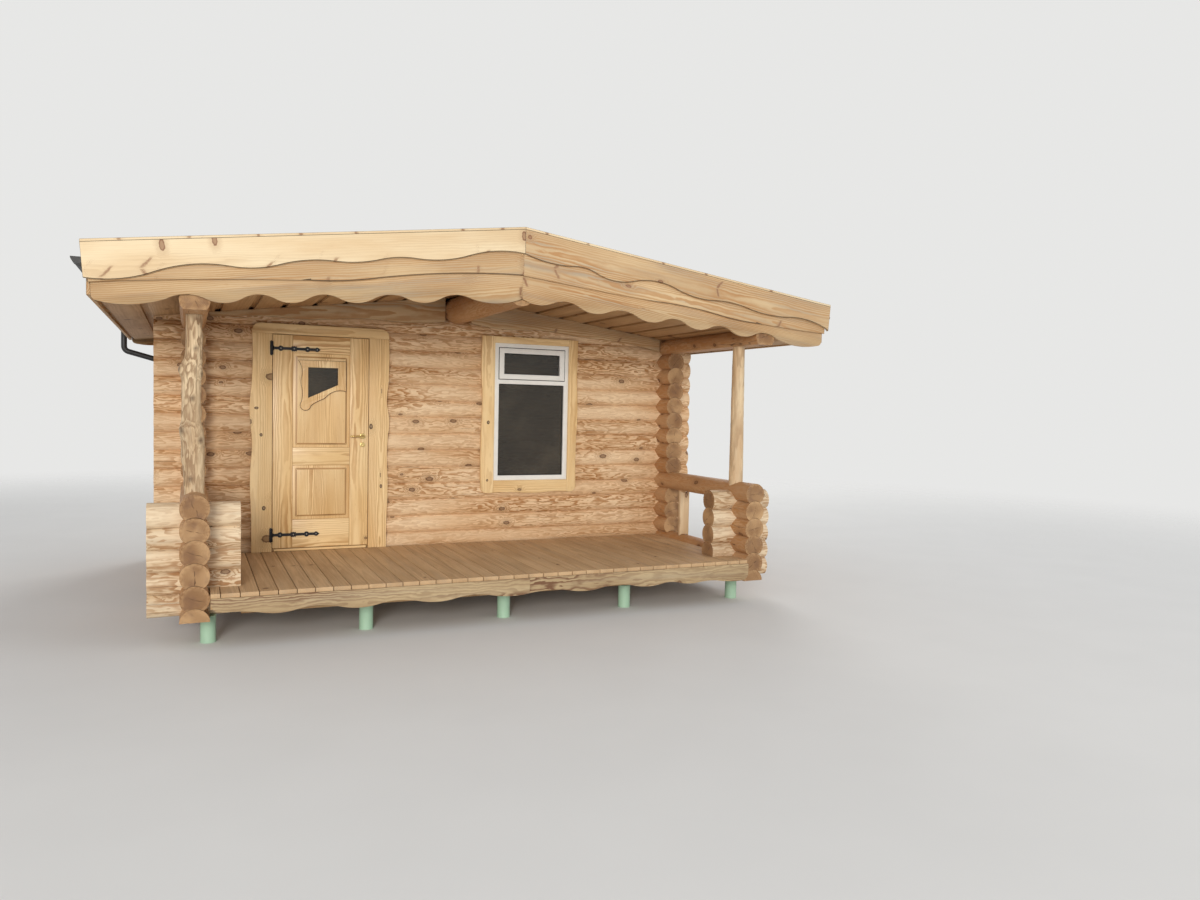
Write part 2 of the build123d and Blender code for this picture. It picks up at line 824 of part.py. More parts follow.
# Live-edge planks round the door: one each side and a head with round corners
head_z = leaf_top_z + leaf_gap
with BuildPart() as door_trim:
    for side, turns, reach in (
        (-1, door_trim_left, door_head_reach[0]),
        (1, door_trim_right, door_head_reach[1]),
    ):
        edge_x = leaf_x + side * (leaf_w / 2 + leaf_gap)
        with BuildSketch(plane_y(front_face_y - seat_fit)):
            with BuildLine():
                top = (edge_x + side * reach, head_z - seat_fit)
                foot = (edge_x + side * turns[-1][1], deck_top + seat_fit)
                wavy_line(top, [(edge_x + side * width, deck_top + height) for height, width in turns], foot)
                Polyline(foot, (edge_x, deck_top + seat_fit), (edge_x, head_z - seat_fit), top)
            make_face()
        extrude(amount=trim_t - seat_fit)
    with BuildSketch(plane_y(front_face_y - seat_fit)) as head_face:
        head_left = leaf_left - leaf_gap - door_head_reach[0]
        head_right = leaf_right + leaf_gap + door_head_reach[1]
        with Locations((head_left, head_z)):
            Rectangle(head_right - head_left, trim_top_z - head_z, align=(Align.MIN, Align.MIN))
        fillet(head_face.vertices().group_by(Axis.Y)[-1], trim_corner)
    extrude(amount=trim_t - seat_fit)
save(door_trim.part, "door_trim")

# Door leaf: stiles and rails round two panels with raised fields
panel_w = leaf_w - 2 * stile
panel_low_z = leaf_bottom_z + rail_low
panel_top_z = panel_low_z + panel_low_h + rail_mid
panel_top_h = leaf_top_z - rail_top - panel_top_z
panel_front_y = (leaf_front_y + leaf_back_y - panel_t) / 2
panel_back_y = panel_front_y + panel_t
with BuildPart() as leaf:
    with BuildSketch(plane_y(leaf_back_y)):
        with Locations((leaf_x, leaf_bottom_z)):
            Rectangle(leaf_w, leaf_h, align=(Align.CENTER, Align.MIN))
        with Locations((leaf_x, panel_low_z)):
            Rectangle(panel_w, panel_low_h, align=(Align.CENTER, Align.MIN), mode=Mode.SUBTRACT)
        with Locations((leaf_x, panel_top_z)):
            Rectangle(panel_w, panel_top_h, align=(Align.CENTER, Align.MIN), mode=Mode.SUBTRACT)
        with Locations((lever_x, lever_z)):
            Circle(spindle_d / 2 + spindle_play, mode=Mode.SUBTRACT)
    extrude(amount=leaf_t)
save(leaf.part, "door_leaf")

# Odd-shaped glass: upright sides, a level top and a sloping foot
glass_x = leaf_left + glass_left
glass_right_x = leaf_right - stile - surround_right_in - glass_right_in
glass_top_z = leaf_top_z - glass_top
with BuildSketch() as glass_outline:
    with BuildLine():
        Polyline(
            (glass_x, glass_top_z),
            (glass_right_x, glass_top_z),
            (glass_right_x, glass_top_z - glass_right_h),
            (glass_x, glass_top_z - glass_left_h),
            close=True,
        )
    make_face()

with BuildPart() as panels:
    for z, height in ((panel_low_z, panel_low_h), (panel_top_z, panel_top_h)):
        with BuildSketch(plane_y(panel_back_y)):
            with Locations((leaf_x, z + height / 2)):
                Rectangle(panel_w - 2 * panel_fit, height - 2 * panel_fit)
        extrude(amount=panel_t)
        for face_y, towards in ((panel_front_y, -1), (panel_back_y, 1)):
            with BuildSketch(plane_y(face_y)):
                with Locations((leaf_x, z + height / 2)):
                    Rectangle(panel_w - 2 * field_inset, height - 2 * field_inset)
            extrude(amount=field_t, dir=(0, towards, 0), taper=field_slope)
    with BuildSketch(plane_y(leaf_back_y)):
        add(glass_outline.sketch)
    extrude(amount=leaf_t, mode=Mode.SUBTRACT)
save(panels.part, "door_panels")

with BuildPart() as door_glass:
    with BuildSketch(plane_y((leaf_front_y + leaf_back_y + glass_t) / 2)):
        add(glass_outline.sketch)
        offset(amount=-panel_fit, kind=Kind.INTERSECTION)
    extrude(amount=glass_t)
save(door_glass.part, "door_glass")


def on_leaf(points):
    # Points given from the left edge and the top of the leaf
    return [(leaf_left + x, leaf_top_z - down) for x, down in points]


# Applied surround with live edges, on the raised field of the upper panel
surround_right = leaf_w - stile - surround_right_in
with BuildPart() as surround:
    with BuildSketch(plane_y(panel_front_y - field_t)):
        with BuildLine():
            corner, right = on_leaf(((surround_left_start, surround_top), (surround_right, surround_top)))
            low_end = (right[0], leaf_top_z - surround_low_end)
            foot = on_leaf(surround_foot)
            wavy_line(corner, on_leaf(surround_left_turns), foot[0])
            ThreePointArc(foot[0], foot[1], foot[2])
            wavy_line(foot[2], on_leaf(surround_low_turns), low_end)
            Polyline(low_end, right, corner)
        make_face()
        add(glass_outline.sketch, mode=Mode.SUBTRACT)
    extrude(amount=surround_t)
save(surround.part, "door_surround")

# Strap hinges: ornate straps on the leaf, plates and pins on the trim
pin_x = leaf_left - leaf_gap / 2
pin_y = leaf_front_y - knuckle_d / 2 - seat_fit
strap_start = leaf_left + seat_fit
with BuildPart() as straps:
    for z in pin_z:
        with BuildSketch(plane_y(leaf_front_y - panel_fit)):
            with Locations((strap_start, z)):
                Rectangle(strap_l - strap_point, strap_w, align=(Align.MIN, Align.CENTER))
            with BuildLine():
                Polyline(
                    (strap_start + strap_l - strap_point, z - strap_w / 2),
                    (strap_start + strap_l, z),
                    (strap_start + strap_l - strap_point, z + strap_w / 2),
                    close=True,
                )
            make_face()
            for along, radius in strap_bosses:
                with Locations((strap_start + along, z)):
                    Circle(radius)
            with Locations((strap_start + strap_crown[0], z)):
                Rectangle(strap_crown[1], strap_crown[2])
        extrude(amount=strap_t)
        with BuildSketch(Plane.XY.offset(z - knuckle_h / 2)):
            with Locations((pin_x, pin_y)):
                Circle(knuckle_d / 2)
            with Locations((pin_x, leaf_front_y - panel_fit)):
                Rectangle(knuckle_d, strap_t, align=(Align.MIN, Align.MAX))
            with Locations((pin_x, pin_y)):
                Circle(pin_d / 2 + pin_play, mode=Mode.SUBTRACT)
        extrude(amount=knuckle_h)
save(straps.part, "door_straps")

with BuildPart() as plates:
    for z in pin_z:
        with BuildSketch(Plane.XY.offset(z - hinge_plate_h / 2)):
            with Locations((pin_x, pin_y)):
                Circle(knuckle_d / 2)
            with Locations((pin_x, front_face_y - trim_t)):
                Rectangle(hinge_plate_w, strap_t, align=(Align.MAX, Align.MAX))
        extrude(amount=hinge_plate_h)
        with BuildSketch(Plane.XY.offset(z - knuckle_h / 2 - knuckle_gap)):
            with Locations((pin_x, pin_y)):
                Circle(knuckle_d / 2 + knuckle_gap)
        extrude(amount=knuckle_h + 2 * knuckle_gap, mode=Mode.SUBTRACT)
        with BuildSketch(Plane.XY.offset(z - hinge_plate_h / 2)):
            with Locations((pin_x, pin_y)):
                Circle(pin_d / 2)
        extrude(amount=hinge_plate_h)
        # Round ends of the plate, above and below
        with BuildSketch(plane_y(front_face_y - trim_t)):
            for end_z in (z - hinge_plate_h / 2, z + hinge_plate_h / 2):
                with Locations((pin_x - hinge_plate_w / 2, end_z)):
                    Circle(hinge_plate_end / 2)
        extrude(amount=strap_t)
save(plates.part, "hinge_plates")

# Lever handle on both faces of the leaf: spindle, necks and tapered arms
rose_face = panel_fit + rose_t
with BuildPart() as lever:
    with BuildSketch(plane_y(leaf_back_y + rose_face + lever_out)):
        with Locations((lever_x, lever_z)):
            Circle(spindle_d / 2)
    extrude(amount=leaf_t + 2 * (rose_face + lever_out))
    for neck_y, arm_y in (
        (leaf_front_y - rose_face - seat_fit, leaf_front_y - rose_face - lever_out),
        (leaf_back_y + rose_face + lever_out, leaf_back_y + rose_face + lever_out),
    ):
        with BuildSketch(plane_y(neck_y)):
            with Locations((lever_x, lever_z)):
                Circle(neck_d / 2)
        extrude(amount=lever_out - seat_fit)
        with BuildSketch(plane_x(lever_x - lever_l)):
            with Locations((arm_y, lever_z)):
                Circle(lever_tip_d / 2)
        with BuildSketch(plane_x(lever_x + lever_d / 2)):
            with Locations((arm_y, lever_z)):
                Circle(lever_d / 2)
        loft(ruled=True)
save(lever.part, "door_lever")

# Roses round the spindle and plates round the keyhole
with BuildPart() as roses:
    for z, diameter, thick, bore in (
        (lever_z, rose_d, rose_t, spindle_d + 2 * spindle_play),
        (key_z, key_d, key_t, key_hole),
    ):
        for y in (leaf_front_y - panel_fit, leaf_back_y + panel_fit + thick):
            with BuildSketch(plane_y(y)):
                with Locations((lever_x, z)):
                    Circle(diameter / 2)
                    Circle(bore / 2, mode=Mode.SUBTRACT)
                if z == key_z:
                    with Locations((lever_x, z - key_slot_h / 2)):
                        Rectangle(key_slot_w, key_slot_h, mode=Mode.SUBTRACT)
            extrude(amount=thick)
save(roses.part, "lever_roses")

# Window: lining in the wall, white frame, top-hung vent sash and glass
win_top_z = win_sill_z + win_h
win_cut_w = win_w + 2 * seat_fit
win_cut_h = win_h + 2 * seat_fit
with BuildPart() as lining:
    with BuildSketch(plane_y(front_wall_y + log_r)):
        with Locations((win_x, win_bottom_z)):
            Rectangle(win_open_w, open_top_z - win_bottom_z, align=(Align.CENTER, Align.MIN))
        with Locations((win_x, win_sill_z - seat_fit)):
            Rectangle(win_cut_w, win_cut_h, align=(Align.CENTER, Align.MIN), mode=Mode.SUBTRACT)
    extrude(amount=log_d)
save(lining.part, "window_lining")

win_front_y = front_face_y - win_proud
vent_z = win_top_z - win_bar - vent_h / 2
fixed_h = win_h - 3 * win_bar - vent_h
with BuildPart() as win_frame:
    with BuildSketch(plane_y(win_front_y + win_depth)):
        with Locations((win_x, win_sill_z)):
            Rectangle(win_w, win_h, align=(Align.CENTER, Align.MIN))
        with Locations((win_x, vent_z)):
            Rectangle(win_w - 2 * win_bar, vent_h, mode=Mode.SUBTRACT)
        with Locations((win_x, win_sill_z + win_bar)):
            Rectangle(win_w - 2 * win_bar, fixed_h, align=(Align.CENTER, Align.MIN), mode=Mode.SUBTRACT)
    extrude(amount=win_depth)
save(win_frame.part, "window_frame")

sash_w = win_w - 2 * win_bar - 2 * sash_fit
sash_h = vent_h - 2 * sash_fit
with BuildPart() as vent_sash:
    with BuildSketch(plane_y(win_front_y + win_depth - win_proud)):
        with Locations((win_x, vent_z)):
            Rectangle(sash_w, sash_h)
            Rectangle(sash_w - 2 * sash_bar, sash_h - 2 * sash_bar, mode=Mode.SUBTRACT)
    extrude(amount=win_depth - win_proud + sash_proud)
save(vent_sash.part, "vent_sash")

with BuildPart() as win_glass:
    with BuildSketch(plane_y(win_front_y + (win_depth + glass_t) / 2)):
        with Locations((win_x, vent_z)):
            Rectangle(sash_w - 2 * sash_bar - 2 * panel_fit, sash_h - 2 * sash_bar - 2 * panel_fit)
        with Locations((win_x, win_sill_z + win_bar + fixed_h / 2)):
            Rectangle(win_w - 2 * win_bar - 2 * panel_fit, fixed_h - 2 * panel_fit)
    extrude(amount=glass_t)
save(win_glass.part, "window_glass")

# Live-edge trim round the window, with round lower corners
with BuildPart() as win_trim:
    with BuildSketch(plane_y(front_face_y - seat_fit)):
        trim_left = win_x - win_w / 2 - win_trim_side[0]
        trim_right = win_x + win_w / 2 + win_trim_side[1]
        trim_low = win_sill_z - win_trim_low
        with BuildLine():
            left_turns = [(win_x - win_w / 2 - wide, win_sill_z + up) for up, wide in win_trim_left_turns]
            low_turns = [
                (win_x - win_w / 2 + along, win_sill_z - wide) for along, wide in win_trim_low_turns
            ]
            right_turns = [(win_x + win_w / 2 + wide, win_sill_z + up) for up, wide in win_trim_right_turns]
            bend = win_trim_corner * (1 - 0.5 ** 0.5)
            wavy_line((trim_left, trim_top_z), left_turns, (trim_left, trim_low + win_trim_corner))
            ThreePointArc(
                (trim_left, trim_low + win_trim_corner),
                (trim_left + bend, trim_low + bend),
                (trim_left + win_trim_corner, trim_low),
            )
            wavy_line(
                (trim_left + win_trim_corner, trim_low),
                low_turns,
                (trim_right - win_trim_corner, trim_low),
            )
            ThreePointArc(
                (trim_right - win_trim_corner, trim_low),
                (trim_right - bend, trim_low + bend),
                (trim_right, trim_low + win_trim_corner),
            )
            wavy_line((trim_right, trim_low + win_trim_corner), right_turns, (trim_right, trim_top_z))
            Line((trim_right, trim_top_z), (trim_left, trim_top_z))
        make_face()
        with Locations((win_x, win_sill_z - seat_fit)):
            Rectangle(win_cut_w, win_cut_h, align=(Align.CENTER, Align.MIN), mode=Mode.SUBTRACT)
    extrude(amount=trim_t - seat_fit)
save(win_trim.part, "window_trim")
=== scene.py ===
import math
from types import SimpleNamespace

import bmesh
import bpy
import numpy as np
from bpy.props import FloatProperty, FloatVectorProperty, IntProperty, PointerProperty
from mathutils import Matrix, Vector, noise


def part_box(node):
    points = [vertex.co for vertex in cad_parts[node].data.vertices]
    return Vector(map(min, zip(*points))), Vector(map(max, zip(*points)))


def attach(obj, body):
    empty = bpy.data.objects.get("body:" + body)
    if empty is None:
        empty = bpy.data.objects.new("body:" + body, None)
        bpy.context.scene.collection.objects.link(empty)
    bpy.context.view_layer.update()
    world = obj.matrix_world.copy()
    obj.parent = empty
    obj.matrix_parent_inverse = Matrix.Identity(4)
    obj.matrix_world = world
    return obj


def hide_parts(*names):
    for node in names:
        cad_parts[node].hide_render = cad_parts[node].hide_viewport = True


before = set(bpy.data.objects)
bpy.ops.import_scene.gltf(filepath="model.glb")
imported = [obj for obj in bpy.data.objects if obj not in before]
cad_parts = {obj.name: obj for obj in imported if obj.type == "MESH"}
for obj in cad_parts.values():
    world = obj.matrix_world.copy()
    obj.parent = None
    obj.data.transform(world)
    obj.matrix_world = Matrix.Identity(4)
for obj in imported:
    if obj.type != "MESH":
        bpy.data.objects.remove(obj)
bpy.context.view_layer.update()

bl_info = {
    "name": "Log Sauna",
    "version": (1, 0, 0),
    "blender": (4, 5, 0),
    "location": "3D View > Sidebar > Log Sauna",
    "description": "Builds the timber, door, window, gutters and stage of a log sauna round its fixed frame",
    "category": "Object",
}

# Places of the timber in metres, rows of logs counted from the sill, and the fall of the roof in a metre
CORNER_X = 2.35
TAIL = 0.31
FRONT_Y = -0.412
BACK_Y = 1.88
STUB_Y = -1.932
SILL_Z = 0.197
COURSE = 0.16
WALL_ROWS = 14
DOOR_ROW = 2
WINDOW_ROW = 5
RAIL_ROW = 4
STUB_ROWS = 5
DECK_TOP = 0.4
RIDGE_SOFFIT = 2.817
ROOF_FALL = 0.1312
EAVE_X = 2.965
BARGE_RIDGE_Z = 3.145
ROOF_END_Y = 2.3245
DOOR_GAP = (-1.7465, -0.8135)
WINDOW_GAP = (0.3595, 1.2005)
PLATE_SEAT = 2.37
LEAF = (-1.703, -0.857, 0.43, 2.363)
LEAF_Y = (-0.54, -0.495)
HINGE_HEIGHTS = (0.552, 2.24)
FIRST_DECK_GAP = -1.289
GUTTER_X = 3.0365
GUTTER_Z = 2.665
PIPE_Y = 2.2205
SIDES = ((-1, "left"), (1, "right"))
TRIM_JOINTS = (0.381, 1.179)
PIER_COLUMNS = (-2.26, -1.13, 0.0, 1.13, 2.26)
PIER_ROWS = (STUB_Y - 0.08, FRONT_Y, (FRONT_Y + BACK_Y) / 2, BACK_Y)
DECK_SCREW_ROWS = (-2.255, -1.522, -1.032, -0.56)
ALONG_X, ALONG_Y, ALONG_Z = (1, 0, 0), (0, 1, 0), (0, 0, 1)

# The camera of the photo: place in metres, yaw, pitch and roll in degrees, focal length for a sensor of 36 mm
CAMERA_PLACE = (-2.3927, -8.9279, 1.7463)
CAMERA_ANGLES = (25.205, -2.612, 1.2195)
CAMERA_LENS = 26.30
LAMPS_AIM = (0.0, -0.6, 1.2)
BACKDROP = (0.80, 0.80, 0.79, 1.0)


# ---------------------------------------------------------------- node building


def find_socket(sockets, name):
    return next(s for s in sockets if s.name == name and s.enabled)


class Socket:
    """An output socket in a Python expression: each operator on numbers adds a Math node."""

    def __init__(self, graph, socket):
        self.graph = graph
        self.socket = socket

    def output(self, name):
        return Socket(self.graph, find_socket(self.socket.node.outputs, name))

    def __add__(self, other):
        return self.graph.math("ADD", self, other)

    def __radd__(self, other):
        return self.graph.math("ADD", other, self)

    def __sub__(self, other):
        return self.graph.math("SUBTRACT", self, other)

    def __rsub__(self, other):
        return self.graph.math("SUBTRACT", other, self)

    def __mul__(self, other):
        return self.graph.math("MULTIPLY", self, other)

    def __rmul__(self, other):
        return self.graph.math("MULTIPLY", other, self)

    def __truediv__(self, other):
        return self.graph.math("DIVIDE", self, other)

    def __lt__(self, other):
        return self.graph.math("LESS_THAN", self, other)

    def __gt__(self, other):
        return self.graph.math("GREATER_THAN", self, other)

    def __neg__(self):
        return self.graph.math("MULTIPLY", self, -1.0)

    def __abs__(self):
        return self.graph.math("ABSOLUTE", self)


class Graph:
    """A shader or geometry tree that is built node by node."""

    def __init__(self, tree):
        self.tree = tree

    def add(self, kind, settings=None, *values, **named):
        """Adds a node with its settings; its inputs are given in their order or by name, with _ for a space."""
        node = self.tree.nodes.new(kind)
        for name, value in (settings or {}).items():
            setattr(node, name, value)
        for place, value in enumerate(values):
            self.feed(node.inputs[place], value)
        for name, value in named.items():
            self.feed(find_socket(node.inputs, name.replace("_", " ")), value)
        usable = [s for s in node.outputs if s.enabled]
        return Socket(self, usable[0]) if usable else node

    def feed(self, socket, value):
        for item in value if isinstance(value, list) else [value]:
            if isinstance(item, Socket):
                self.tree.links.new(item.socket, socket)
            else:
                socket.default_value = item

    def math(self, operation, *values):
        return self.add("ShaderNodeMath", {"operation": operation}, *values)

    def vector(self, operation, *values):
        return self.add("ShaderNodeVectorMath", {"operation": operation}, *values)

    def noise(self, vector, scale, detail):
        return self.add("ShaderNodeTexNoise", Vector=vector, Scale=scale, Detail=detail)

    def join(self, x, y, z):
        return self.add("ShaderNodeCombineXYZ", X=x, Y=y, Z=z)

    def split(self, vector):
        made = self.add("ShaderNodeSeparateXYZ", Vector=vector)
        return made.output("X"), made.output("Y"), made.output("Z")

    def blend(self, low, high, share):
        return self.add("ShaderNodeMix", {"data_type": "RGBA", "clamp_factor": True}, Factor=share, A=low, B=high)

    def ease(self, value, low, high, start=0.0, end=1.0):
        return self.add(
            "ShaderNodeMapRange", {"interpolation_type": "SMOOTHSTEP"}, Value=value, From_Min=low, From_Max=high,
            To_Min=start, To_Max=end,
        )


def shader_graph(name):
    material = bpy.data.materials.new(name)
    material.use_nodes = True
    material.node_tree.nodes.clear()
    graph = Graph(material.node_tree)
    shader = graph.tree.nodes.new("ShaderNodeBsdfPrincipled")
    output = graph.tree.nodes.new("ShaderNodeOutputMaterial")
    graph.tree.links.new(shader.outputs["BSDF"], output.inputs["Surface"])
    return material, graph, shader


def surface(graph, shader, height=None, strength=0.5, relief=0.001, **values):
    """Feeds the inputs of a surface by name, with _ for a space, and bumps it by a height."""
    if height is not None:
        values["Normal"] = graph.add("ShaderNodeBump", Strength=strength, Distance=relief, Height=height)
    for name, value in values.items():
        graph.feed(shader.inputs[name.replace("_", " ")], value)


def tone(colour, share=1.0):
    return tuple(c * share for c in colour[:3]) + (1.0,)


def between(a, b, share):
    return tuple(x + (y - x) * share for x, y in zip(a[:3], b[:3])) + (1.0,)


# ---------------------------------------------------------------- finishes


def wood(
    name, light, mid, dark, streak=None, ring=0.007, line=0.45, wander=0.007, curl=0.15, fibre=0.3, knots=0.4,
    knot_size=0.015, checks=0.0, star=0.0, spikes=0.0, change=0.3, grey=0.0, rough=0.62, coat=0.0, relief=0.0015,
    wane=None,
):
    """Solid wood: growth rings round the pith, knots, fibre, checks and a tone of its own for each piece, with the
    dark of branch scars on trunks and painted shade on the leaning edges of boards.
    """
    material, g, shader = shader_graph(name)
    place = g.add("ShaderNodeAttribute", {"attribute_name": "wood"}).output("Vector")
    seed = g.add("ShaderNodeAttribute", {"attribute_name": "seed"}).output("Fac")
    shift = g.join(seed * 37.0, seed * 17.0, seed * 29.0)

    def cloud(lengthways, crossways, detail=2.0):
        spot = g.vector("MULTIPLY_ADD", place, (lengthways, crossways, crossways), shift)
        return g.noise(spot, 1.0, detail)

    def chance(step):
        spread = g.add("ShaderNodeTexWhiteNoise", {"noise_dimensions": "1D"}, W=seed * 91.0 + step)
        return spread.output("Value")

    x, y, z = g.split(place)
    lean = (seed - 0.5) * 0.03
    height = z + x * lean
    radius = g.math("SQRT", y * y + height * height)
    angle = g.math("ARCTAN2", height, y)

    # Branch knots start at the pith, so their cells are laid along the log and round it, a little longer than high
    knot_scale = 4.4
    spot = g.join(x * 0.62 + seed * 31.0, angle * 0.1 + seed * 19.0, 0.0)
    cell = g.add(
        "ShaderNodeTexVoronoi", {"voronoi_dimensions": "2D", "feature": "F1"}, Vector=spot, Scale=knot_scale,
        Randomness=1.0,
    )
    away = cell.output("Distance") / knot_scale
    luck, size, _ = g.split(cell.output("Color"))
    there = luck < knots
    knot_radius = (size * 0.9 + 0.5) * knot_size
    rough_edge = cloud(60.0, 60.0, 1.0) * 0.6 + 0.7
    near = away * rough_edge / knot_radius
    knot = g.ease(near, 1.05, 0.8) * there
    halo = g.ease(near, 3.2, 0.9) * there

    slow = (cloud(1.5, 9.0) - 0.5) * (2.0 * wander)
    twist = (cloud(9.0, 26.0, 2.0) - 0.5) * (2.0 * wander * curl)
    turn = (radius + slow + twist + halo * 0.02) / ring
    share = g.math("FRACT", turn)
    late = g.ease(share, 0.2, 0.75) * g.ease(share, 1.0, 0.9)
    weight = g.ease(cloud(0.8, 6.0, 1.0), 0.35, 0.6, 0.35, 1.0) * (chance(3.0) * 0.5 + 0.65)
    late = late * weight

    strand = cloud(5.0, 210.0, 3.0)
    blotch = cloud(1.3, 6.0, 3.0)
    fleck = cloud(14.0, 60.0, 2.0)
    lines = streak or between(mid, dark, 0.45)
    base = g.blend(tone(light), tone(mid), g.ease(blotch, 0.3, 0.72))
    own = chance(0.0)
    base = g.blend(base, between(mid, dark, 0.25), own * own * change)
    if grey:
        base = g.blend(base, (0.30, 0.27, 0.225, 1.0), g.ease(cloud(1.1, 14.0, 3.0), 0.45, 0.75) * grey)
    base = g.blend(base, tone(lines), late * line)
    base = g.blend(base, tone(lines), g.ease(strand, 0.5, 0.78) * fibre)
    base = g.blend(base, tone(light, 1.08), g.ease(strand, 0.5, 0.25) * (fibre * 0.6))
    base = g.blend(base, tone(lines), g.ease(fleck, 0.62, 0.78) * (line * 0.35))
    base = g.blend(base, between(mid, dark, 0.35), halo * 0.5)
    core = g.ease(near, 0.45, 0.85)
    base = g.blend(base, g.blend(between(mid, dark, 0.7), tone(dark, 0.9), core), knot * 0.92)
    height_map = strand * 0.35 - late * 0.35 + knot * 0.6

    if spikes:
        # Pairs of branches sawn along their length slant out from the middle of a board
        number = x * 2.7 + seed * 13.0
        spread = g.add(
            "ShaderNodeTexWhiteNoise", {"noise_dimensions": "1D"}, W=g.math("FLOOR", number) + seed * 50.0,
        )
        first, second, third = g.split(spread.output("Color"))
        along = (g.math("FRACT", number) - 0.5 - (first - 0.5) * 0.5) / 2.7
        across = y + (second - 0.5) * 0.09
        wide = abs(across)
        along = along + (cloud(16.0, 22.0) - 0.5) * 0.04
        slant = abs(along - wide * 0.6 + across * (third - 0.5) * 0.9) * rough_edge
        spike = g.ease(slant, 0.017, 0.010) * g.ease(wide, 0.08, 0.055) * g.ease(wide, 0.001, 0.008)
        spike = spike * (spread.output("Value") < spikes)
        shade = g.ease(slant, 0.05, 0.0) * g.ease(wide, 0.10, 0.03) * (spread.output("Value") < spikes)
        base = g.blend(base, between(mid, dark, 0.25), shade * 0.6)
        spike_tone = g.blend(between(mid, dark, 0.75), between(mid, dark, 0.45), g.ease(slant, 0.002, 0.013))
        base = g.blend(base, spike_tone, spike)
        height_map = height_map + spike * 0.5

    if checks:
        # Drying checks run along the log and open only here and there
        sway = cloud(1.4, 9.0, 2.0)
        split_at = abs(g.math("FRACT", angle * 1.1 + seed * 7.0 + sway * 1.3) - 0.5)
        open_here = g.ease(cloud(0.9, 3.0, 1.0), 0.52, 0.6)
        check = g.ease(split_at, 0.014, 0.003) * open_here * checks
        base = g.blend(base, tone(dark, 0.35), check)
        height_map = height_map - check * 3.0
    if star:
        # A check or two from the pith out on each sawn end, and a weathered uneven rim
        base = g.blend(base, tone(light, 1.1), g.ease(radius, 0.06, 0.09) * g.ease(fleck, 0.35, 0.6) * 0.35)
        base = g.blend(base, tone(dark, 1.3), g.ease(cloud(2.0, 14.0, 3.0), 0.5, 0.75) * 0.4)
        spoke = abs(g.math("FRACT", angle * 0.318 + seed * 3.0 + cloud(3.0, 18.0, 1.0) * 0.35) - 0.5) * radius
        crack = g.ease(spoke, 0.0006, 0.0002) * g.ease(radius, 0.08, 0.03) * g.ease(radius, 0.002, 0.01)
        crack = crack * g.ease(cloud(2.0, 30.0, 1.0), 0.4, 0.5)
        base = g.blend(base, tone(dark, 0.5), crack * star)
        height_map = height_map - crack * 3.0
    # The dark colour by its stored share: the real dark of branch scars and knot rings, and painted shade on board
    # edges that lean away from the front
    if wane:
        edge = g.add("ShaderNodeAttribute", {"attribute_name": "wane"}).output("Fac")
        base = g.blend(base, g.blend(tone(wane), tone(wane, 0.6), g.ease(blotch, 0.35, 0.7)), edge * 0.92)

    surface(
        g, shader, height_map, 0.7, relief, Base_Color=base, Roughness=strand * 0.12 + (rough - 0.06) + late * 0.05,
        Coat_Weight=coat, Coat_Roughness=0.25, Specular_IOR_Level=0.35,
    )
    return material


def coated(name, colour, rough, metal=0.0, grain=300.0, relief=0.0003, patch=0.15, wear=0.0):
    """Painted, cast or moulded surface with a fine grain and an uneven sheen, on object coordinates."""
    material, g, shader = shader_graph(name)
    place = g.add("ShaderNodeTexCoord").output("Object")
    fine = g.noise(place, grain, 3.0)
    broad = g.noise(place, grain * 0.03, 4.0)
    share = g.ease(broad, 0.35, 0.7)
    base = g.blend(tone(colour), tone(colour, 1.0 - patch), share)
    if wear:
        base = g.blend(base, tone(colour, 1.9), g.ease(fine, 0.66, 0.74) * wear)
    surface(
        g, shader, fine, 0.5, relief, Base_Color=base, Roughness=share * 0.12 + (rough - 0.06) + fine * 0.05,
        Metallic=metal,
    )
    return material


def felt(name, colour):
    """Mineral roofing felt: crushed slate grains in dark bitumen, with faint streaks of dust down the slope."""
    material, g, shader = shader_graph(name)
    place = g.add("ShaderNodeTexCoord").output("Object")
    grain = g.add("ShaderNodeTexVoronoi", {"feature": "F1"}, Vector=place, Scale=420.0)
    fleck, _, _ = g.split(grain.output("Color"))
    streaked = g.vector("MULTIPLY", place, (1.2, 9.0, 1.2))
    dust = g.noise(streaked, 1.0, 4.0)
    base = g.blend(tone(colour, 0.65), tone(colour, 1.7), fleck)
    base = g.blend(base, (0.22, 0.22, 0.2, 1.0), g.ease(dust, 0.5, 0.8) * 0.35)
    height = fleck * 0.8 - grain.output("Distance")
    surface(g, shader, height, 0.8, 0.001, Base_Color=base, Roughness=0.93)
    return material


def glazing(name, colour, clear):
    """Window glass: a dark clear pane with a faint uneven film on it."""
    material, g, shader = shader_graph(name)
    place = g.add("ShaderNodeTexCoord").output("Object")
    film = g.noise(place, 3.0, 5.0)
    surface(
        g, shader, Base_Color=g.blend(tone(colour), tone(colour, 1.8), g.ease(film, 0.4, 0.7)),
        Roughness=g.ease(film, 0.4, 0.7, 0.02, 0.07), Specular_IOR_Level=0.7,
        Alpha=g.ease(film, 0.4, 0.7, 1.0 - clear, 1.0 - clear * 0.85),
    )
    material.surface_render_method = "BLENDED"
    return material


# ---------------------------------------------------------------- geometry trees


def socket_label(name):
    return name.replace("_", " ").capitalize()


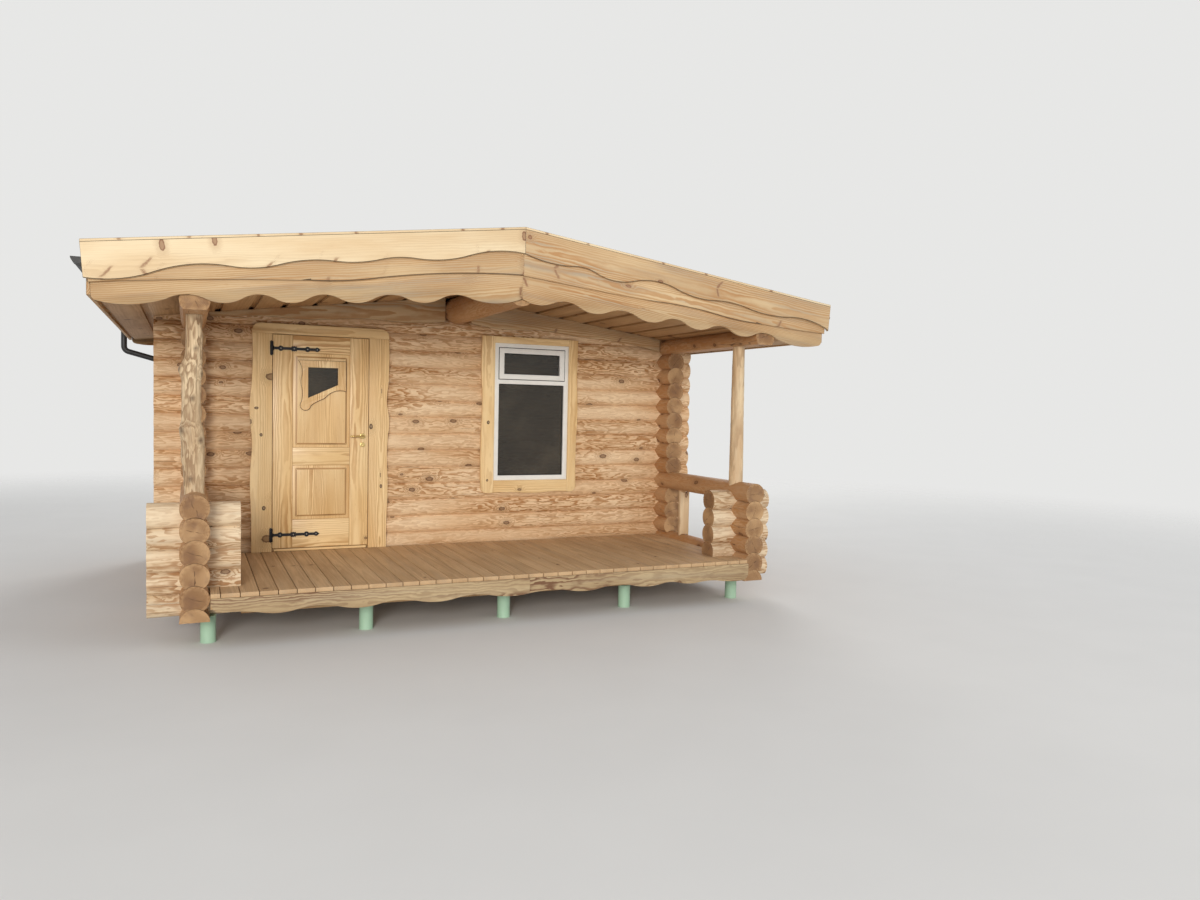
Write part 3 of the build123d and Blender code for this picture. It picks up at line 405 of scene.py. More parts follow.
def geometry_graph(name, **sockets):
    """A geometry tree with the inputs and defaults given, a material for None; its inputs come as a namespace."""
    tree = bpy.data.node_groups.new(name, "GeometryNodeTree")
    tree.interface.new_socket("Geometry", in_out="OUTPUT", socket_type="NodeSocketGeometry")
    tree.interface.new_socket("Geometry", in_out="INPUT", socket_type="NodeSocketGeometry")
    kinds = {float: "Float", int: "Int", tuple: "Vector", type(None): "Material"}
    for key, value in sockets.items():
        kind = "NodeSocket" + kinds[type(value)]
        made = tree.interface.new_socket(socket_label(key), in_out="INPUT", socket_type=kind)
        if value is not None:
            made.default_value = value
    graph = Graph(tree)
    entry = tree.nodes.new("NodeGroupInput")
    return graph, SimpleNamespace(**{
        key: Socket(graph, socket) for key, socket in zip(("geometry", *sockets), entry.outputs)
    })


def close_tree(graph, geometry):
    geometry = graph.add("GeometryNodeRealizeInstances", Geometry=geometry)
    output = graph.tree.nodes.new("NodeGroupOutput")
    graph.tree.links.new(geometry.socket, output.inputs["Geometry"])
    return graph.tree


def store(graph, geometry, name, value, kind="FLOAT"):
    return graph.add(
        "GeometryNodeStoreNamedAttribute", {"data_type": kind, "domain": "POINT"}, Geometry=geometry, Name=name,
        Value=value,
    )


def stored(graph, name, kind="FLOAT"):
    return graph.add("GeometryNodeInputNamedAttribute", {"data_type": kind}, Name=name)


def paint(graph, geometry, material, selection=True):
    return graph.add("GeometryNodeSetMaterial", Geometry=geometry, Selection=selection, Material=material)


def upright(graph, curve):
    return graph.add("GeometryNodeSetCurveNormal", {"mode": "Z_UP"}, Curve=curve)


def skin(graph, curve, profile):
    return graph.add("GeometryNodeCurveToMesh", Curve=curve, Profile_Curve=profile, Fill_Caps=True)


def rail(graph, start, end):
    """An upright straight curve between two points."""
    return upright(graph, graph.add("GeometryNodeCurvePrimitiveLine", {"mode": "POINTS"}, Start=start, End=end))


def sweep(graph, curve, profile):
    """Sweeps a profile along curves and keeps the length along them and the place in the profile."""
    along = graph.add("GeometryNodeSplineParameter").output("Length")
    curve = store(graph, curve, "along", along)
    section = graph.add("GeometryNodeInputPosition")
    profile = store(graph, profile, "section", section, "FLOAT_VECTOR")
    return skin(graph, curve, profile)


def log_tree():
    """Logs on centre lines: a round section scribed over the log below, hewn uneven, with sawn ends."""
    g, given = geometry_graph(
        "hewn_logs",
        radius=0.0998, course_height=COURSE, facets=26, hewing_depth=0.0035, pattern_seed=3.0, wood=None,
        end_wood=None,
    )
    radius = given.radius
    line = g.add("GeometryNodeMeshToCurve", Mesh=given.geometry)
    _, _, level = g.split(g.add("GeometryNodeInputPosition"))
    line = store(g, line, "level", level)
    line = g.add("GeometryNodeSetCurveRadius", Curve=line, Radius=stored(g, "girth"))
    ring = g.add("GeometryNodeCurvePrimitiveCircle", {"mode": "RADIUS"}, Resolution=given.facets, Radius=radius)
    mesh = sweep(g, upright(g, line), ring)
    # The underside: flat where a log has a floor, and otherwise hollowed over the log below
    across, _, _ = g.split(stored(g, "section", "FLOAT_VECTOR"))
    position = g.add("GeometryNodeInputPosition")
    _, _, world_z = g.split(position)
    height = world_z - stored(g, "level")
    hollow = g.math("SQRT", g.math("MAXIMUM", radius * radius - across * across, 0.0)) - given.course_height
    floor = stored(g, "floor")
    scribed = floor < SCRIBED / 2
    low = hollow * scribed + floor * (1.0 - scribed)
    lifted = g.math("MAXIMUM", height, low)
    mesh = g.add("GeometryNodeSetPosition", Geometry=mesh, Offset=g.join(0.0, 0.0, lifted - height))
    spot = g.vector("MULTIPLY", position, (4.0, 4.0, 9.0))
    spot = g.vector("ADD", spot, g.join(given.pattern_seed * 7.0, stored(g, "seed") * 53.0, 0.0))
    hew = g.noise(spot, 1.0, 2.0)
    depth = -given.hewing_depth * g.ease(hew, 0.3, 0.75)
    inward = g.add("ShaderNodeVectorMath", {"operation": "SCALE"}, g.add("GeometryNodeInputNormal"), Scale=depth)
    mesh = g.add("GeometryNodeSetPosition", Geometry=mesh, Offset=inward)
    place = g.join(stored(g, "along"), across, lifted)
    mesh = store(g, mesh, "wood", place, "FLOAT_VECTOR")
    mesh = paint(g, mesh, given.wood)
    corners = g.add("GeometryNodeInputMeshFaceNeighbors").output("Vertex Count")
    mesh = paint(g, mesh, given.end_wood, corners > 6.0)
    return close_tree(g, mesh)


def board_tree():
    """Boards laid side by side with eased edges, each with its own place in the grain."""
    g, given = geometry_graph(
        "laid_boards",
        start=(0.0, 0.0, 0.0), pitch=(0.1, 0.0, 0.0), count=3, run=(0.0, 1.0, 0.0), width=0.1, thickness=0.02,
        edge_radius=0.003, tilt=0.0, pattern_seed=1, wood=None,
    )
    points = g.add(
        "GeometryNodeMeshLine", {"mode": "OFFSET", "count_mode": "TOTAL"}, Count=given.count,
        Start_Location=given.start, Offset=given.pitch,
    )
    number = g.add("FunctionNodeRandomValue", {"data_type": "FLOAT"}, Min=0.02, Max=0.98, Seed=given.pattern_seed)
    points = store(g, points, "seed", number)
    run = g.add("GeometryNodeCurvePrimitiveLine", {"mode": "POINTS"}, End=given.run)
    line = g.add("GeometryNodeInstanceOnPoints", Points=points, Instance=run)
    line = g.add("GeometryNodeRealizeInstances", Geometry=line)
    line = upright(g, line)
    line = g.add("GeometryNodeSetCurveTilt", Curve=line, Tilt=given.tilt)
    box = g.add(
        "GeometryNodeCurvePrimitiveQuadrilateral", {"mode": "RECTANGLE"}, Width=given.width,
        Height=given.thickness,
    )
    box = g.add("GeometryNodeFilletCurve", {"mode": "POLY"}, Curve=box, Count=2, Radius=given.edge_radius)
    mesh = sweep(g, line, box)
    across, deep, _ = g.split(stored(g, "section", "FLOAT_VECTOR"))
    own = stored(g, "seed")
    place = g.join(
        stored(g, "along") + own * 9.0,
        across + (own - 0.5) * given.width,
        deep + 0.07 + own * 0.06,
    )
    mesh = store(g, mesh, "wood", place, "FLOAT_VECTOR")
    return close_tree(g, paint(g, mesh, given.wood))


def head_tree():
    """Screw and nail heads on points: a domed disc with a thin dark disc on top, painted as the shade in the drive.
    """
    g, given = geometry_graph(
        "fixing_heads",
        head_radius=0.004, head_height=0.0015, facing=(0.0, 0.0, 1.0), metal=None, recess=None,
    )
    radius = given.head_radius
    rim = g.add(
        "GeometryNodeMeshCone", {"fill_type": "NGON"}, Vertices=12, Radius_Top=radius * 0.7, Radius_Bottom=radius,
        Depth=given.head_height,
    )
    # The dark disc on top is painted shade standing in for the hollow of the drive
    slot = g.add(
        "GeometryNodeMeshCone", {"fill_type": "NGON"}, Vertices=6, Radius_Top=radius * 0.34,
        Radius_Bottom=radius * 0.34, Depth=0.0003,
    )
    slot = g.add("GeometryNodeTransform", Geometry=slot, Translation=g.join(0.0, 0.0, given.head_height))
    rim = paint(g, rim, given.metal)
    slot = paint(g, slot, given.recess)
    head = g.add("GeometryNodeJoinGeometry", Geometry=[slot, rim])
    turn = g.add("FunctionNodeAlignRotationToVector", {"axis": "Z"}, Vector=given.facing)
    heads = g.add("GeometryNodeInstanceOnPoints", Points=given.geometry, Instance=head, Rotation=turn)
    return close_tree(g, heads)


def pipe_tree():
    """Round pipe along bent lines with eased bends, dark caps painted as the shade in its open ends, and clips round
    its upright run.
    """
    g, given = geometry_graph(
        "bent_pipe",
        pipe_radius=0.03, bend_radius=0.06, clip_radius=0.033, clip_height=0.028, plastic=None, inside=None,
    )
    clips = stored(g, "clip") > 0.5
    line = g.add("GeometryNodeDeleteGeometry", {"domain": "POINT"}, Geometry=given.geometry, Selection=clips)
    line = g.add("GeometryNodeMeshToCurve", Mesh=line)
    line = g.add(
        "GeometryNodeFilletCurve", {"mode": "POLY"}, Curve=line, Count=7, Radius=given.bend_radius,
        Limit_Radius=True,
    )
    ring = g.add("GeometryNodeCurvePrimitiveCircle", {"mode": "RADIUS"}, Resolution=28, Radius=given.pipe_radius)
    mesh = skin(g, line, ring)
    mesh = paint(g, mesh, given.plastic)
    # The end caps are dark: painted shade in place of the hollow of the open pipe
    corners = g.add("GeometryNodeInputMeshFaceNeighbors").output("Vertex Count")
    mesh = paint(g, mesh, given.inside, corners > 6.0)
    clip = g.add(
        "GeometryNodeMeshCylinder", {"fill_type": "NGON"}, Vertices=28, Radius=given.clip_radius,
        Depth=given.clip_height,
    )
    clip = paint(g, clip, given.plastic)
    clip = g.add("GeometryNodeInstanceOnPoints", Points=given.geometry, Selection=clips, Instance=clip)
    return close_tree(g, g.add("GeometryNodeJoinGeometry", Geometry=[clip, mesh]))


def gutter_tree():
    """Half-round gutter from its outline, with brackets at an even pitch and a stop at each end."""
    g, given = geometry_graph(
        "half_round_gutter",
        start=(0.0, -1.0, 0.0), end=(0.0, 1.0, 0.0), gutter_radius=0.0425, bracket_growth=1.06,
        bracket_width=0.028, bracket_count=6, plastic=None,
    )
    outline = g.add("GeometryNodeMeshToCurve", Mesh=given.geometry)
    trough = skin(g, rail(g, given.start, given.end), outline)

    def repeat(piece, count, inset):
        """The piece at even places along the gutter, the first and the last set in from its ends."""
        inset = (0.0, inset, 0.0)
        places = g.add(
            "GeometryNodeMeshLine", {"mode": "END_POINTS"}, Count=count,
            Start_Location=g.vector("ADD", given.start, inset), Offset=g.vector("SUBTRACT", given.end, inset),
        )
        return g.add("GeometryNodeInstanceOnPoints", Points=places, Instance=piece)

    half = given.bracket_width * 0.5
    short = rail(g, g.join(0.0, -half, 0.0), g.join(0.0, half, 0.0))
    growth = given.bracket_growth
    strap = g.add("GeometryNodeTransform", Geometry=outline, Scale=g.join(growth, growth, growth))
    straps = repeat(skin(g, short, strap), given.bracket_count, 0.12)
    disc = g.add(
        "GeometryNodeCurveArc", {"mode": "RADIUS"}, Resolution=20, Radius=given.gutter_radius, Start_Angle=0.0,
        Sweep_Angle=math.pi,
    )
    disc = g.add("GeometryNodeSetSplineCyclic", Geometry=disc, Cyclic=True)
    stops = repeat(skin(g, rail(g, (0.0, -0.0015, 0.0), (0.0, 0.0015, 0.0)), disc), 2, 0.004)
    parts = g.add("GeometryNodeJoinGeometry", Geometry=[stops, straps, trough])
    return close_tree(g, paint(g, parts, given.plastic))


def bead_tree():
    """A thin round bead along closed lines."""
    g, given = geometry_graph("edge_bead", bead_radius=0.002, finish=None)
    line = g.add("GeometryNodeMeshToCurve", Mesh=given.geometry)
    ring = g.add("GeometryNodeCurvePrimitiveCircle", {"mode": "RADIUS"}, Resolution=8, Radius=given.bead_radius)
    mesh = g.add("GeometryNodeCurveToMesh", Curve=line, Profile_Curve=ring)
    return close_tree(g, paint(g, mesh, given.finish))


def grow(name, tree, base=None, **values):
    """Runs a geometry tree with the inputs given on a base mesh and returns the plain mesh that it makes."""
    base = base or bpy.data.meshes.new(name + "_base")
    carrier = bpy.data.objects.new(name + "_carrier", base)
    bpy.context.scene.collection.objects.link(carrier)
    modifier = carrier.modifiers.new("Nodes", "NODES")
    modifier.node_group = tree
    keys = {item.name: item.identifier for item in tree.interface.items_tree if item.in_out == "INPUT"}
    for key, value in values.items():
        modifier[keys[socket_label(key)]] = value
    graph = bpy.context.evaluated_depsgraph_get()
    mesh = bpy.data.meshes.new_from_object(carrier.evaluated_get(graph), depsgraph=graph)
    bpy.data.objects.remove(carrier)
    mesh.name = name
    if not mesh.polygons:
        raise RuntimeError(name + ": the geometry tree made no faces")
    return mesh


# ---------------------------------------------------------------- mesh pieces


def place_piece(name, mesh, body, nodes=(), smooth=35.0):
    """Links a finished mesh as a piece of the object, riding on its body."""
    mesh.shade_smooth()
    mesh.set_sharp_from_angle(angle=math.radians(smooth))
    piece = bpy.data.objects.new(name, mesh)
    bpy.context.scene.collection.objects.link(piece)
    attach(piece, body)
    if nodes:
        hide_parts(*nodes)
    return piece


def lines_mesh(name, lines):
    """A mesh of open lines: each is (points, {attribute: value or list})."""
    verts, edges, values = [], [], {}
    for points, settings in lines:
        first = len(verts)
        verts += points
        edges += [(first + i, first + i + 1) for i in range(len(points) - 1)]
        for key, value in settings.items():
            spread = value if isinstance(value, list) else [value] * len(points)
            values.setdefault(key, []).extend(spread)
    mesh = bpy.data.meshes.new(name)
    mesh.from_pydata(verts, edges, [])
    for key, numbers in values.items():
        mesh.attributes.new(key, "FLOAT", "POINT").data.foreach_set("value", numbers)
    return mesh


def read_points(mesh):
    flat = np.zeros(len(mesh.vertices) * 3, np.float32)
    mesh.vertices.foreach_get("co", flat)
    return flat.reshape(-1, 3)


def write_points(mesh, points):
    mesh.vertices.foreach_set("co", points.astype(np.float32).ravel())
    mesh.update()


def set_wood(mesh, places, seeds, wane=None):
    """Stores the place in the wood, the seed and the share of dark colour of each point: the dark of a branch scar on
    a trunk, and painted shade on the edge of a board.
    """
    layers = mesh.attributes
    layers.new("wood", "FLOAT_VECTOR", "POINT").data.foreach_set("vector", places.astype(np.float32).ravel())
    layers.new("seed", "FLOAT", "POINT").data.foreach_set("value", seeds.astype(np.float32))
    if wane is not None:
        layers.new("wane", "FLOAT", "POINT").data.foreach_set("value", wane)


def ring_faces(rows, sides, first=0):
    """The faces between stacked rings of points, with a cap on the first and the last ring."""
    faces = []
    for row in range(rows):
        for k in range(sides):
            a, b = first + row * sides + k, first + row * sides + (k + 1) % sides
            faces.append((a, b, b + sides, a + sides))
    faces.append(tuple(first + k for k in reversed(range(sides))))
    faces.append(tuple(first + rows * sides + k for k in range(sides)))
    return faces


def solid_mesh(name, verts, faces, finish):
    mesh = bpy.data.meshes.new(name)
    mesh.from_pydata(verts, [], faces)
    mesh.materials.append(finishes[finish])
    return mesh


def plain_mesh(name, bm, finish):
    """The mesh of a bmesh, with one finish all over."""
    mesh = bpy.data.meshes.new(name)
    bm.to_mesh(mesh)
    bm.free()
    mesh.materials.clear()
    mesh.materials.append(finishes[finish])
    mesh.polygons.foreach_set("material_index", [0] * len(mesh.polygons))
    return mesh


def middle_of(verts):
    return sum((vert.co for vert in verts), Vector()) / len(verts)


def islands(bm):
    """The separate solids of a mesh as lists of vertices, from left to right, front to back and low to high."""
    left = set(bm.verts)
    found = []
    for start in bm.verts:
        if start not in left:
            continue
        left.remove(start)
        stack, group = [start], [start]
        while stack:
            for edge in stack.pop().link_edges:
                for vert in edge.verts:
                    if vert in left:
                        left.remove(vert)
                        stack.append(vert)
                        group.append(vert)
        found.append(group)
    return sorted(found, key=lambda group: [round(value, 3) for value in middle_of(group)])


def bevel(bm, edges, offset, segments, profile=0.5):
    bmesh.ops.bevel(
        bm, geom=edges, offset=offset, segments=segments, profile=profile, affect="EDGES", clamp_overlap=True
    )
    bm.normal_update()


def eased_copy(node, ease, live=0.0, segments=2, corner=0.0, rake=0.0):
    """A merged copy of a CAD node's mesh, its edges eased, its wavy outer edges waned and its end corners rounded."""
    bm = bmesh.new()
    bm.from_mesh(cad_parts[node].data)
    bmesh.ops.remove_doubles(bm, verts=bm.verts, dist=0.00002)
    bmesh.ops.dissolve_limit(
        bm, angle_limit=math.radians(0.6), use_dissolve_boundaries=False, verts=bm.verts, edges=bm.edges
    )
    bm.normal_update()

    def sharp(edge):
        return len(edge.link_faces) == 2 and edge.calc_face_angle(0.0) > math.radians(28)

    reach = max(abs(v.co.x) for v in bm.verts)
    end_verts = {v for v in bm.verts if abs(v.co.x) > reach - 0.001}
    if rake:
        for vert in end_verts:
            depth = BARGE_RIDGE_Z - ROOF_FALL * reach - vert.co.z
            vert.co.x -= math.copysign(rake * depth, vert.co.x)
    if corner:
        low = min(v.co.z for v in end_verts)
        ends = [e for e in bm.edges if all(v in end_verts and v.co.z < low + 0.001 for v in e.verts)]
        bevel(bm, ends, corner, 5)
    if live:
        chosen = []
        for edge in bm.edges:
            if sharp(edge):
                small = min(edge.link_faces, key=lambda f: f.calc_area())
                wide = max(edge.link_faces, key=lambda f: f.calc_area())
                outwards = math.copysign(1.0, edge.verts[0].co.y)
                if edge.calc_length() < 0.16 and wide.normal.y * outwards > 0.9 and abs(small.normal.y) < 0.1:
                    if edge.calc_length() > 0.012:
                        chosen.append(edge)
        if chosen:
            bevel(bm, chosen, live, 3, 0.55)
    rest = [e for e in bm.edges if sharp(e)]
    if ease and rest:
        bevel(bm, rest, ease, segments)
    bm.normal_update()
    return bm


def grain_frame(points, direction):
    """Along, across and depth directions of a board from its points."""
    if direction is not None:
        along = Vector(direction).normalized()
        spread = points - points.mean(0)
        spread = spread - np.outer(spread @ np.array(along), np.array(along))
        _, axes = np.linalg.eigh(np.cov(spread.T))
        across = axes[:, 2]
        along = np.array(along)
    else:
        _, axes = np.linalg.eigh(np.cov(points.T))
        along, across = axes[:, 2], axes[:, 1]
    # The largest part of each direction is positive, so that the grain lies the same way in each run
    along, across = (axis * np.sign(axis[np.argmax(np.abs(axis))]) for axis in (along, across))
    return along, across, np.cross(along, across)


PITH_DEPTH = 0.09


def board_mesh(name, bm, finish, direction=None, seed=1, shade_sides=False):
    """Gives every separate board of a mesh its own grain along its length, and returns the mesh."""
    rng = np.random.default_rng(seed)
    places = np.zeros((len(bm.verts), 3))
    seeds = np.zeros(len(bm.verts))
    bm.verts.index_update()
    for group in islands(bm):
        points = np.array([v.co for v in group])
        along, across, deep = grain_frame(points, direction)
        centre = points.mean(0)
        own = float(rng.uniform(0.05, 0.95))
        local = (points - centre) @ np.array([along, across, deep]).T
        width = np.ptp(local[:, 1])
        local += (rng.uniform(1.0, 9.0), rng.uniform(-0.3, 0.3) * width, PITH_DEPTH * rng.uniform(0.8, 1.5))
        numbers = [v.index for v in group]
        places[numbers] = local
        seeds[numbers] = own
    mesh = plain_mesh(name, bm, finish)
    set_wood(mesh, places, seeds)
    # Painted shade on the edges: faces that lean away from both the front and the sides get the dark edge colour, and
    # where asked all the side faces too, in place of the shadow along the eased and live edges
    least = -1.0 if shade_sides else 0.25
    lean = [1.0 if least < abs(p.normal.y) < 0.93 and p.area > 2e-6 else 0.0 for p in mesh.polygons]
    mesh.attributes.new("wane", "FLOAT", "FACE").data.foreach_set("value", lean)
    return mesh


def cut_boards(bm, places, gap=0.0006):
    """Saws a ring of trim through at the given places along x, closes the boards and leaves fine joints."""
    for place in places:
        whole = bm.verts[:] + bm.edges[:] + bm.faces[:]
        cut = bmesh.ops.bisect_plane(bm, geom=whole, plane_co=(place, 0.0, 0.0), plane_no=(1.0, 0.0, 0.0))
        seam = [item for item in cut["geom_cut"] if isinstance(item, bmesh.types.BMEdge)]
        bmesh.ops.split_edges(bm, edges=seam)
    bmesh.ops.holes_fill(bm, edges=[edge for edge in bm.edges if edge.is_boundary], sides=0)
    for group in islands(bm):
        middle = middle_of(group).x
        for vert in group:
            for place in places:
                if abs(vert.co.x - place) < 1e-5:
                    vert.co.x += math.copysign(gap, middle - place)
    bmesh.ops.recalc_face_normals(bm, faces=bm.faces[:])
    return bm


def boxes_mesh(boxes, ease):
    """Eased boxes, each given by its low and high corner, in one mesh."""
    bm = bmesh.new()
    for low, high in boxes:
        low, high = Vector(low), Vector(high)
        made = bmesh.ops.create_cube(bm, size=1.0)
        for vert in made["verts"]:
            vert.co = Vector(low[i] + (vert.co[i] + 0.5) * (high[i] - low[i]) for i in range(3))
    bevel(bm, list(bm.edges), ease, 2)
    bmesh.ops.recalc_face_normals(bm, faces=bm.faces)
    return bm


def dress_boards(name, node, finish, slot, ease, live=0.0, body="cabin", direction=None, seed=1, shade_sides=False,
                 **shape):
    """Replaces a CAD node by its eased boards, each with a grain of its own."""
    mesh = board_mesh(name, eased_copy(node, ease, live, **shape), finish, direction, seed, shade_sides)
    place_piece(name, mesh, body, [node])


def dress_plain(name, node, finish, ease, body="cabin"):
    place_piece(name, plain_mesh(name, eased_copy(node, ease), finish), body, [node])


def dress_node(node, finish):
    """Gives a CAD node that is kept as it is its finish."""
    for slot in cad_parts[node].material_slots:
        slot.material = finishes[finish]


# ---------------------------------------------------------------- settings


def colour_property(label, text, value):
    return FloatVectorProperty(
        name=label, description=text, subtype="COLOR", size=3, min=0.0, max=1.0, default=value
    )


class LOGSAUNA_PG_sizes(bpy.types.PropertyGroup):
    """Sizes of the dressed timber and fixings."""

    log_radius: FloatProperty(name="Log radius", description="Radius of a wall log", default=0.0998, unit="LENGTH")
    course: FloatProperty(name="Course height", description="Height of one log course", default=COURSE, unit="LENGTH")
    hewing: FloatProperty(name="Hewing depth", description="Unevenness of the logs", default=0.0035, unit="LENGTH")
    ring_step: FloatProperty(name="Ring step", description="Distance between sections", default=0.12, unit="LENGTH")
    deck_pitch: FloatProperty(name="Deck board pitch", description="Board and gap", default=0.128, unit="LENGTH")
    deck_gap: FloatProperty(name="Deck board gap", description="Gap between boards", default=0.006, unit="LENGTH")
    floor_pitch: FloatProperty(name="Floor board pitch", description="Inside boards", default=0.14, unit="LENGTH")
    soffit_pitch: FloatProperty(name="Roof board pitch", description="Boards below", default=0.296, unit="LENGTH")
    soffit_gap: FloatProperty(name="Roof board gap", description="Shadow gap", default=0.05, unit="LENGTH")
    felt_lap: FloatProperty(name="Felt lap", description="Distance between felt laps", default=0.9, unit="LENGTH")
    gutter_radius: FloatProperty(name="Gutter radius", description="Outside radius", default=0.0433, unit="LENGTH")
    screw_radius: FloatProperty(name="Screw head radius", description="Deck screws", default=0.0045, unit="LENGTH")
    brackets: IntProperty(name="Gutter brackets", description="Brackets on each gutter", default=6, min=2)


WOOD_COLOURS = (
    # Name, where it is, light wood, middle wood
    ("log", "Wall logs", (0.91, 0.70, 0.46), (0.77, 0.52, 0.295)),
    ("stub", "Weathered porch logs", (0.86, 0.71, 0.50), (0.70, 0.53, 0.335)),
    ("side", "Side wall logs and purlins", (0.60, 0.385, 0.21), (0.46, 0.25, 0.12)),
    ("end", "Sawn ends of the logs", (0.55, 0.345, 0.175), (0.29, 0.155, 0.068)),
    ("pale", "Top barge boards", (0.82, 0.665, 0.435), (0.72, 0.53, 0.31)),
    ("tan", "Lower barge boards", (0.68, 0.50, 0.285), (0.53, 0.365, 0.20)),
    ("skirt", "Skirt under the deck", (0.56, 0.425, 0.245), (0.38, 0.26, 0.135)),
    ("trim", "Door and window trim", (0.94, 0.71, 0.39), (0.84, 0.58, 0.275)),
    ("deck", "Deck boards", (0.68, 0.47, 0.265), (0.52, 0.34, 0.18)),
    ("soffit", "Roof boards seen from below", (0.54, 0.345, 0.17), (0.41, 0.24, 0.11)),
    ("trunk", "Gnarled post", (0.80, 0.63, 0.405), (0.48, 0.32, 0.175)),
)


class LOGSAUNA_PG_colours(bpy.types.PropertyGroup):
    """Colours of the finishes."""

    log_line: colour_property("Log lines", "Late wood of the wall logs", (0.44, 0.215, 0.078))
    log_dark: colour_property("Log knots", "Knots and checks of the logs", (0.125, 0.052, 0.024))
    pale_dark: colour_property("Pine knots", "Knots of the barge boards", (0.22, 0.085, 0.04))
    trim_line: colour_property("Golden pine lines", "Late wood of the trim", (0.52, 0.275, 0.095))
    felt: colour_property("Roof felt", "Mineral felt", (0.075, 0.078, 0.085))
    black: colour_property("Black", "Gutters, pipes and hinges", (0.018, 0.018, 0.019))
    white: colour_property("White", "Window frame", (0.88, 0.88, 0.84))
    brass: colour_property("Brass", "Lever handle and plates", (0.72, 0.53, 0.22))
    green: colour_property("Pier green", "Tube piers", (0.40, 0.60, 0.43))
    glass: colour_property("Glass", "Window and door glass", (0.037, 0.029, 0.017))
    for key, where, light, middle in WOOD_COLOURS:
        __annotations__[key + "_light"] = colour_property(where + ", light", "Light wood", light)
        __annotations__[key + "_mid"] = colour_property(where + ", middle", "Middle wood", middle)
    del key, where, light, middle


finishes = {}


